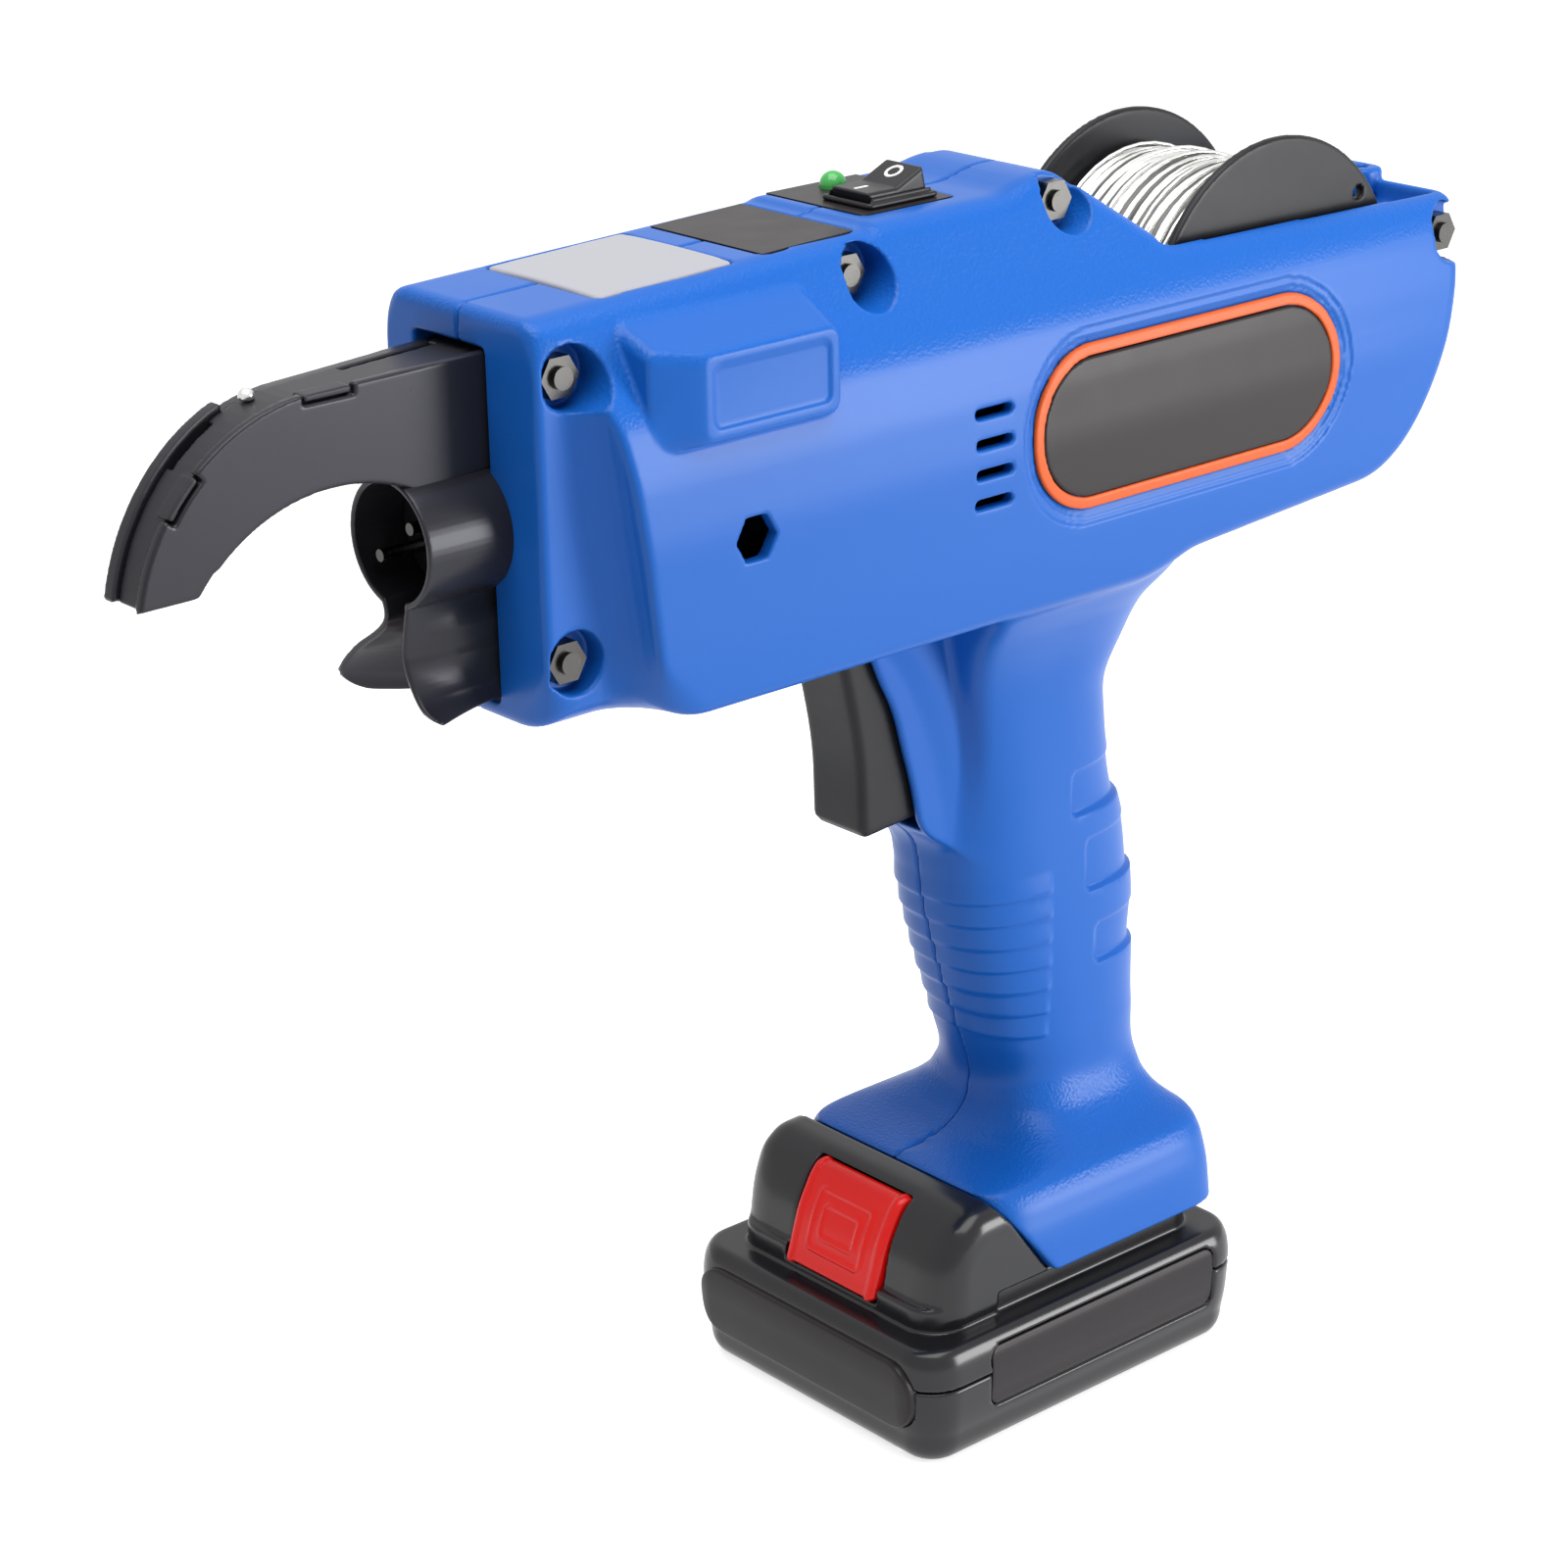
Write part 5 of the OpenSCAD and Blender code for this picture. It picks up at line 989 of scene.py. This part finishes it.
def rocker_marks():
    """A raised line at one end of the rocker and a ring at the other."""
    g = Grid(ROCKER_LOW, ROCKER_HIGH, 0.16)
    u, v, w = rocker_frame(g)
    top = ROCKER_DIP + (ROCKER_RISE - ROCKER_DIP) * abs(u) / ROCKER_L
    line = both(abs(u + MARK_AT) - LINE_L, abs(v) - LINE_W)
    ring = abs(np.hypot(u - MARK_AT, v) - RING_R) - RING_W
    marks = both(either(line, ring), slab(w - top, -MARK_DEEP, MARK_RISE))
    mould("rocker_marks", g, marks, 20000, "rocker", "mark_white")


def bezel():
    """The switch's frame: a low step round a higher, narrower one."""
    low, high = box_of("rocker_bezel")
    g = Grid(low, high, 0.35)
    top = high[2]
    step = smax(pad(g.x, g.y, low, high, 1), slab(g.z, DECK_TOP, top - BEZEL_STEP), 0.5)
    rim = smax(pad(g.x, g.y, low + BEZEL_STEP, high - BEZEL_STEP, 0.8), slab(g.z, low[2], top), 0.4)
    half = np.array((ROCKER_L, ROCKER_W)) + WELL_ROOM
    well = pad(g.x, g.y, DECK_SWITCH - half, DECK_SWITCH + half, 0.3)
    form = without(either(step, rim), both(well, top - WELL_DEEP - g.z))
    mould("switch_frame", g, form, 30000, "tool", "switch_black", "rocker_bezel")


def window():
    """A crowned pale window in the sloping top."""
    low, high = box_of("window")
    g = Grid(low, high + [0, 0, 0.5], 0.45)
    slope = (DECK_STEP[1] - FRONT_TOP) / (DECK_STEP[0] - BODY_FRONT)
    top = FRONT_TOP + (g.x - BODY_FRONT) * slope + WINDOW_CROWN * (1 - (g.y / high[1]) ** 2)
    form = smax(pad(g.x, g.y, low[:2], high[:2], 1.4), both(g.z - top, low[2] - g.z), 0.6)
    mould("window_lens", g, form, 20000, "tool", "window_grey", "window")


rocker()
rocker_marks()
bezel()
window()


# Battery
BELT_LOW, BELT_HIGH = np.array((-43.4, -36.7)), np.array((45.7, 36.7))
BELT_Z, BATTERY_DECK, BELT_R = 17, 30, 9
SHELF_Z, DECK_INSET = 25, 7.2
BELT_INSETS = [  # height and inset
    (0, 4.2), (1.2, 2.9), (7, 1.1), (15.5, 0.1), (BELT_Z, 0), (20, 0.1), (22.5, 0.6), (SHELF_Z, 1.8)]
HUMP_FRONT, HUMP_ROOT, HUMP_H, HUMP_HALF = 36.8, 26, 22.3, 31
HUMP_ROUND, HUMP_GAP = 2.5, 0.35
HUMP_SHARES = [(1, 0), (0.97, 0.135), (0.893, 0.54), (0.784, 0.855), (0.658, 0.99), (0.537, 1)]
LATCH_LOW, LATCH_HIGH = box_of("battery_latch")
LATCH_TOP, LATCH_GAP, LATCH_REAR = LATCH_HIGH[2] - 0.6, 0.4, -20.5
LATCH_SKIN, LATCH_DEEP = (-3.6, 0.55), 3
LATCH_BARS = [(31.5, 43, 7.6), (34.2, 40.6, 5)]  # low, high and half width
BAR_HALF, BAR_RISE, EDGE_IN, EDGE_HALF, EDGE_RISE = 0.45, 0.35, 1.6, 0.7, 0.3
PLATE_LOW, PLATE_HIGH = box_of("battery_front_plate")
LABEL_LOW, LABEL_HIGH = box_of("battery_side_labels")
PLATE_RISE, LABEL_SINK, LABEL_SEAT = 1.2, 0.35, 0.9
PLATE_REAR, LABEL_INNER = BELT_LOW[0] + 20, BELT_HIGH[1] - 12
CASE_WALL, CASE_GAP = 2.5, 0.08
RAIL_Z, RAIL_DEEP = (BATTERY_DECK + 3.2, BATTERY_DECK + 7.2), 3
BLADE_X, BLADE_Z = (TOWER_HIGH[0] - 11, TOWER_HIGH[0] + 1), (RAIL_Z[0], BATTERY_DECK + 11.2)
BLADE_PITCH, BLADE_HALF = 9, 1
BOLTS = [(x, y) for x in (-36.4, 36.4) for y in (-23.5, 23.5)]
POST_R, BOLT_R, HEAD_R, HEAD_DEEP = 3.2, 1.6, 2.8, 1.8


def belt(g):
    """The battery's block, its sides swelling to the belt."""
    heights, insets = zip(*BELT_INSETS)
    return pad(g.x, g.y, BELT_LOW, BELT_HIGH, BELT_R) + along(np.clip(g.z, 0, SHELF_Z), heights, insets)


def hump_front():
    """The hump's rising front, seen from the left."""
    return [(-HUMP_FRONT * s, HUMP_ROOT + HUMP_H * h) for s, h in HUMP_SHARES]


def hump(g):
    """The rise in front of the tool's foot that carries the latch."""
    points = hump_front() + [(HUMP_FRONT, HUMP_ROOT + HUMP_H)]
    points += [(HUMP_FRONT, SHELF_Z - 2), (-HUMP_FRONT, SHELF_Z - 2)]
    side = outline(g.x, g.z, softened(points, HUMP_ROUND))
    form = smax(side, pad(g.x, g.y, (-HUMP_FRONT, -HUMP_HALF), (HUMP_FRONT, HUMP_HALF), 10), 6)
    above = both(HUMP_GAP - toe_plane(g), BATTERY_DECK - g.z)
    return both(form, either(above, g.x - FOOT_LIP[0]))


def tower(g):
    """The tower inside the foot, with two rail grooves and three slots for the terminals."""
    form = both(pad(g.x, g.y, TOWER_LOW, TOWER_HIGH, 1), slab(g.z, BATTERY_DECK - 2, TOWER_TOP))
    half = abs(g.y)
    grooves = both(TOWER_HIGH[1] - RAIL_DEEP - half, slab(g.z, *RAIL_Z))
    across = either(half, abs(half - BLADE_PITCH)) - BLADE_HALF
    slots = both(across, slab(g.x, *BLADE_X), slab(g.z, *BLADE_Z))
    return without(form, grooves, slots)


def upper_case():
    """The battery's upper case, hollow, with the hump, the tower and the latch's pocket."""
    g = Grid(*box_of("battery_upper_case"), 0.6)
    block = belt(g)
    form = smax(smax(block, g.z - SHELF_Z, 1.4), BELT_Z + CASE_GAP - g.z, 0.7)
    deck = pad(g.x, g.y, BELT_LOW + DECK_INSET, BELT_HIGH - DECK_INSET, BELT_R - 2)
    hollow = either(both(block, g.z - SHELF_Z), both(deck, g.z - BATTERY_DECK)) + CASE_WALL
    form = smin(form, smax(deck, slab(g.z, SHELF_Z - 2, BATTERY_DECK), 0.8), 0.6)
    form = either(without(smin(form, both(hump(g), BELT_Z - g.z), 0.6), hollow), tower(g))
    tall = slab(g.z, LATCH_LOW[2] - LATCH_GAP, LATCH_TOP + 0.3)
    room = both(abs(g.y) - LATCH_HIGH[1] - LATCH_GAP, tall, g.x - LATCH_REAR)
    form = without(smax(form, -room, 0.3), label_seat(g, 0.1))
    mould("battery_upper", g, form, 80000, "battery", "battery_black", "battery_upper_case")


def lower_case():
    """The battery's lower case, a tub with four screw posts."""
    g = Grid(*box_of("battery_lower_case"), 0.6)
    block = belt(g)
    form = smax(smax(block, -g.z, 1.2), g.z - BELT_Z + CASE_GAP, 0.7)
    form = without(form, both(block + CASE_WALL, CASE_WALL - g.z), label_seat(g, 0.1))
    for bolt in BOLTS:
        form = either(form, both(rod(g.x, g.y, bolt, POST_R), slab(g.z, 1, BELT_Z)))
        head = both(rod(g.x, g.y, bolt, HEAD_R), g.z - HEAD_DEEP)
        form = without(form, rod(g.x, g.y, bolt, BOLT_R), head)
    mould("battery_lower", g, form, 60000, "battery", "battery_black", "battery_lower_case")


def label_seat(g, grow):
    """Room for the front plate and the side labels, let a little into the belt."""
    front = pad(g.y, g.z, PLATE_LOW[1:] - grow, PLATE_HIGH[1:] + grow, 5)
    sides = pad(g.x, g.z, LABEL_LOW[[0, 2]] - grow, LABEL_HIGH[[0, 2]] + grow, 2.5)
    room = either(both(front, g.x - PLATE_REAR), both(sides, LABEL_INNER - abs(g.y)))
    return without(room, belt(g) + LABEL_SEAT + grow)


def front_plate():
    """The bare front plate, a raised pill."""
    g = Grid(PLATE_LOW - 1.2, PLATE_HIGH + [3, 1.2, 1.2], 0.4)
    block = belt(g)
    shape = pad(g.y, g.z, PLATE_LOW[1:] - 0.6, PLATE_HIGH[1:] + [0.6, 1.6], 6.5)
    form = smax(smax(shape, block - PLATE_RISE, 0.6), -(block + LABEL_SEAT), 0.3)
    form = both(form, g.x - BELT_LOW[0] - BELT_R)
    mould("front_plate", g, form, 30000, "battery", "label_black", "battery_front_plate")


def side_labels():
    """The bare side labels, slightly sunk."""
    g = Grid(LABEL_LOW - 0.5, LABEL_HIGH + 0.5, 0.4)
    form = both(smax(label_seat(g, 0), belt(g) + LABEL_SINK, 0.3), LABEL_INNER - abs(g.y))
    mould("side_labels", g, form, 30000, "battery", "label_black", "battery_side_labels")


def latch():
    """The red latch: a curved plate with raised edges and two nested bars."""
    g = Grid(LATCH_LOW - 0.3, LATCH_HIGH + [4, 0.3, 0.3], 0.35)
    root = (HUMP_SHARES[-1][0] * -HUMP_FRONT, HUMP_ROOT)
    side = outline(g.x, g.z, softened([*hump_front(), root], HUMP_ROUND))
    form = smax(slab(side, *LATCH_SKIN), abs(g.y) - LATCH_HIGH[1], 1.2)
    form = both(form, g.x - LATCH_HIGH[0] - LATCH_DEEP)
    form = smax(form, slab(g.z, LATCH_LOW[2], LATCH_TOP), 0.8)
    for low, high, half in LATCH_BARS:
        ring = abs(pad(g.y, g.z, (-half, low), (half, high), 1.2)) - BAR_HALF
        form = form - BAR_RISE * (1 - smooth(ring, -0.3, 0.3))
    edge = abs(abs(g.y) - LATCH_HIGH[1] + EDGE_IN) - EDGE_HALF
    form = form - EDGE_RISE * (1 - smooth(edge, -0.4, 0.4))
    mould("latch_moulding", g, form, 40000, "latch", "latch_red", "battery_latch")


upper_case()
lower_case()
front_plate()
side_labels()
latch()


# Floor, light and camera
CAMERA_AT, CAMERA_TO = Vector((-491.9, -522.9, 398.7)), Vector((-52.0, -7.7, 139.0))
CAMERA_ROLL = math.radians(-1.21)
LENS, SENSOR = 90.1, 36
FLOOR_REACH, FLOOR_Z, FLOOR_GLOW = 4000, -0.2, 0.72
WORLD_LIGHT = 0.3


def plainly_seen(tree):
    """1 for rays from the camera and for those that a glossy or clear surface sends on, otherwise 0."""
    path = tree.nodes.new("ShaderNodeLightPath")
    either = path.outputs["Is Camera Ray"]
    for kind in ("Is Glossy Ray", "Is Transmission Ray"):
        larger = tree.nodes.new("ShaderNodeMath")
        larger.operation = "MAXIMUM"
        tree.links.new(either, larger.inputs[0])
        tree.links.new(path.outputs[kind], larger.inputs[1])
        either = larger.outputs[0]
    return either


def studio_surface(name, colour):
    """A pale surface that the camera sees as white where no shadow falls."""
    made = material(name, colour, 0.9)
    tree = made.node_tree
    seen = tree.nodes.new("ShaderNodeMath")
    seen.operation = "MULTIPLY"
    seen.inputs[1].default_value = FLOOR_GLOW
    tree.links.new(plainly_seen(tree), seen.inputs[0])
    shader = tree.nodes["Principled BSDF"]
    shader.inputs["Emission Color"].default_value = (1, 1, 1, 1)
    tree.links.new(seen.outputs[0], shader.inputs["Emission Strength"])
    return made


def floor():
    """A large plain floor under the tool."""
    corners = [(FLOOR_REACH * x, FLOOR_REACH * y, FLOOR_Z) for x, y in ((-1, -1), (1, -1), (1, 1), (-1, 1))]
    obj = add_mesh("floor", corners, [(0, 1, 2, 3)])
    obj.data.materials.append(studio_surface("floor_pale", (0.86, 0.86, 0.86)))


def lamp(name, place, target, size, power):
    """A square soft light."""
    data = bpy.data.lights.new(name, "AREA")
    data.size = size * MM
    data.energy = power
    obj = bpy.data.objects.new(name, data)
    obj.location = Vector(place) * MM
    obj.rotation_euler = (Vector(target) - Vector(place)).to_track_quat("-Z", "Y").to_euler()
    bpy.context.scene.collection.objects.link(obj)


def camera():
    """The view of the photograph."""
    data = bpy.data.cameras.new("camera")
    data.lens, data.sensor_width = LENS, SENSOR
    data.clip_end = 50
    obj = bpy.data.objects.new("camera", data)
    aim = (CAMERA_TO - CAMERA_AT).to_track_quat("-Z", "Y").to_matrix().to_4x4()
    roll = Matrix.Rotation(CAMERA_ROLL, 4, "Z")
    obj.matrix_world = Matrix.Translation(CAMERA_AT * MM) @ aim @ roll
    bpy.context.scene.collection.objects.link(obj)
    bpy.context.scene.camera = obj


def world():
    """White to the camera, a softer white as light."""
    made = bpy.data.worlds.new("studio")
    made.use_nodes = True
    tree = made.node_tree
    shader = tree.nodes["Background"]
    shader.inputs["Color"].default_value = (1, 1, 1, 1)
    level = tree.nodes.new("ShaderNodeMapRange")
    level.inputs["To Min"].default_value = WORLD_LIGHT
    level.inputs["To Max"].default_value = 1.0
    tree.links.new(plainly_seen(tree), level.inputs["Value"])
    tree.links.new(level.outputs["Result"], shader.inputs["Strength"])
    bpy.context.scene.world = made


floor()
lamp("key", (650, -950, 260), (0, 0, 170), 520, 11)
lamp("top", (-150, -100, 1000), (0, 0, 150), 900, 10)
camera()
world()
bpy.context.scene.view_settings.view_transform = "Standard"

bpy.context.view_layer.update()
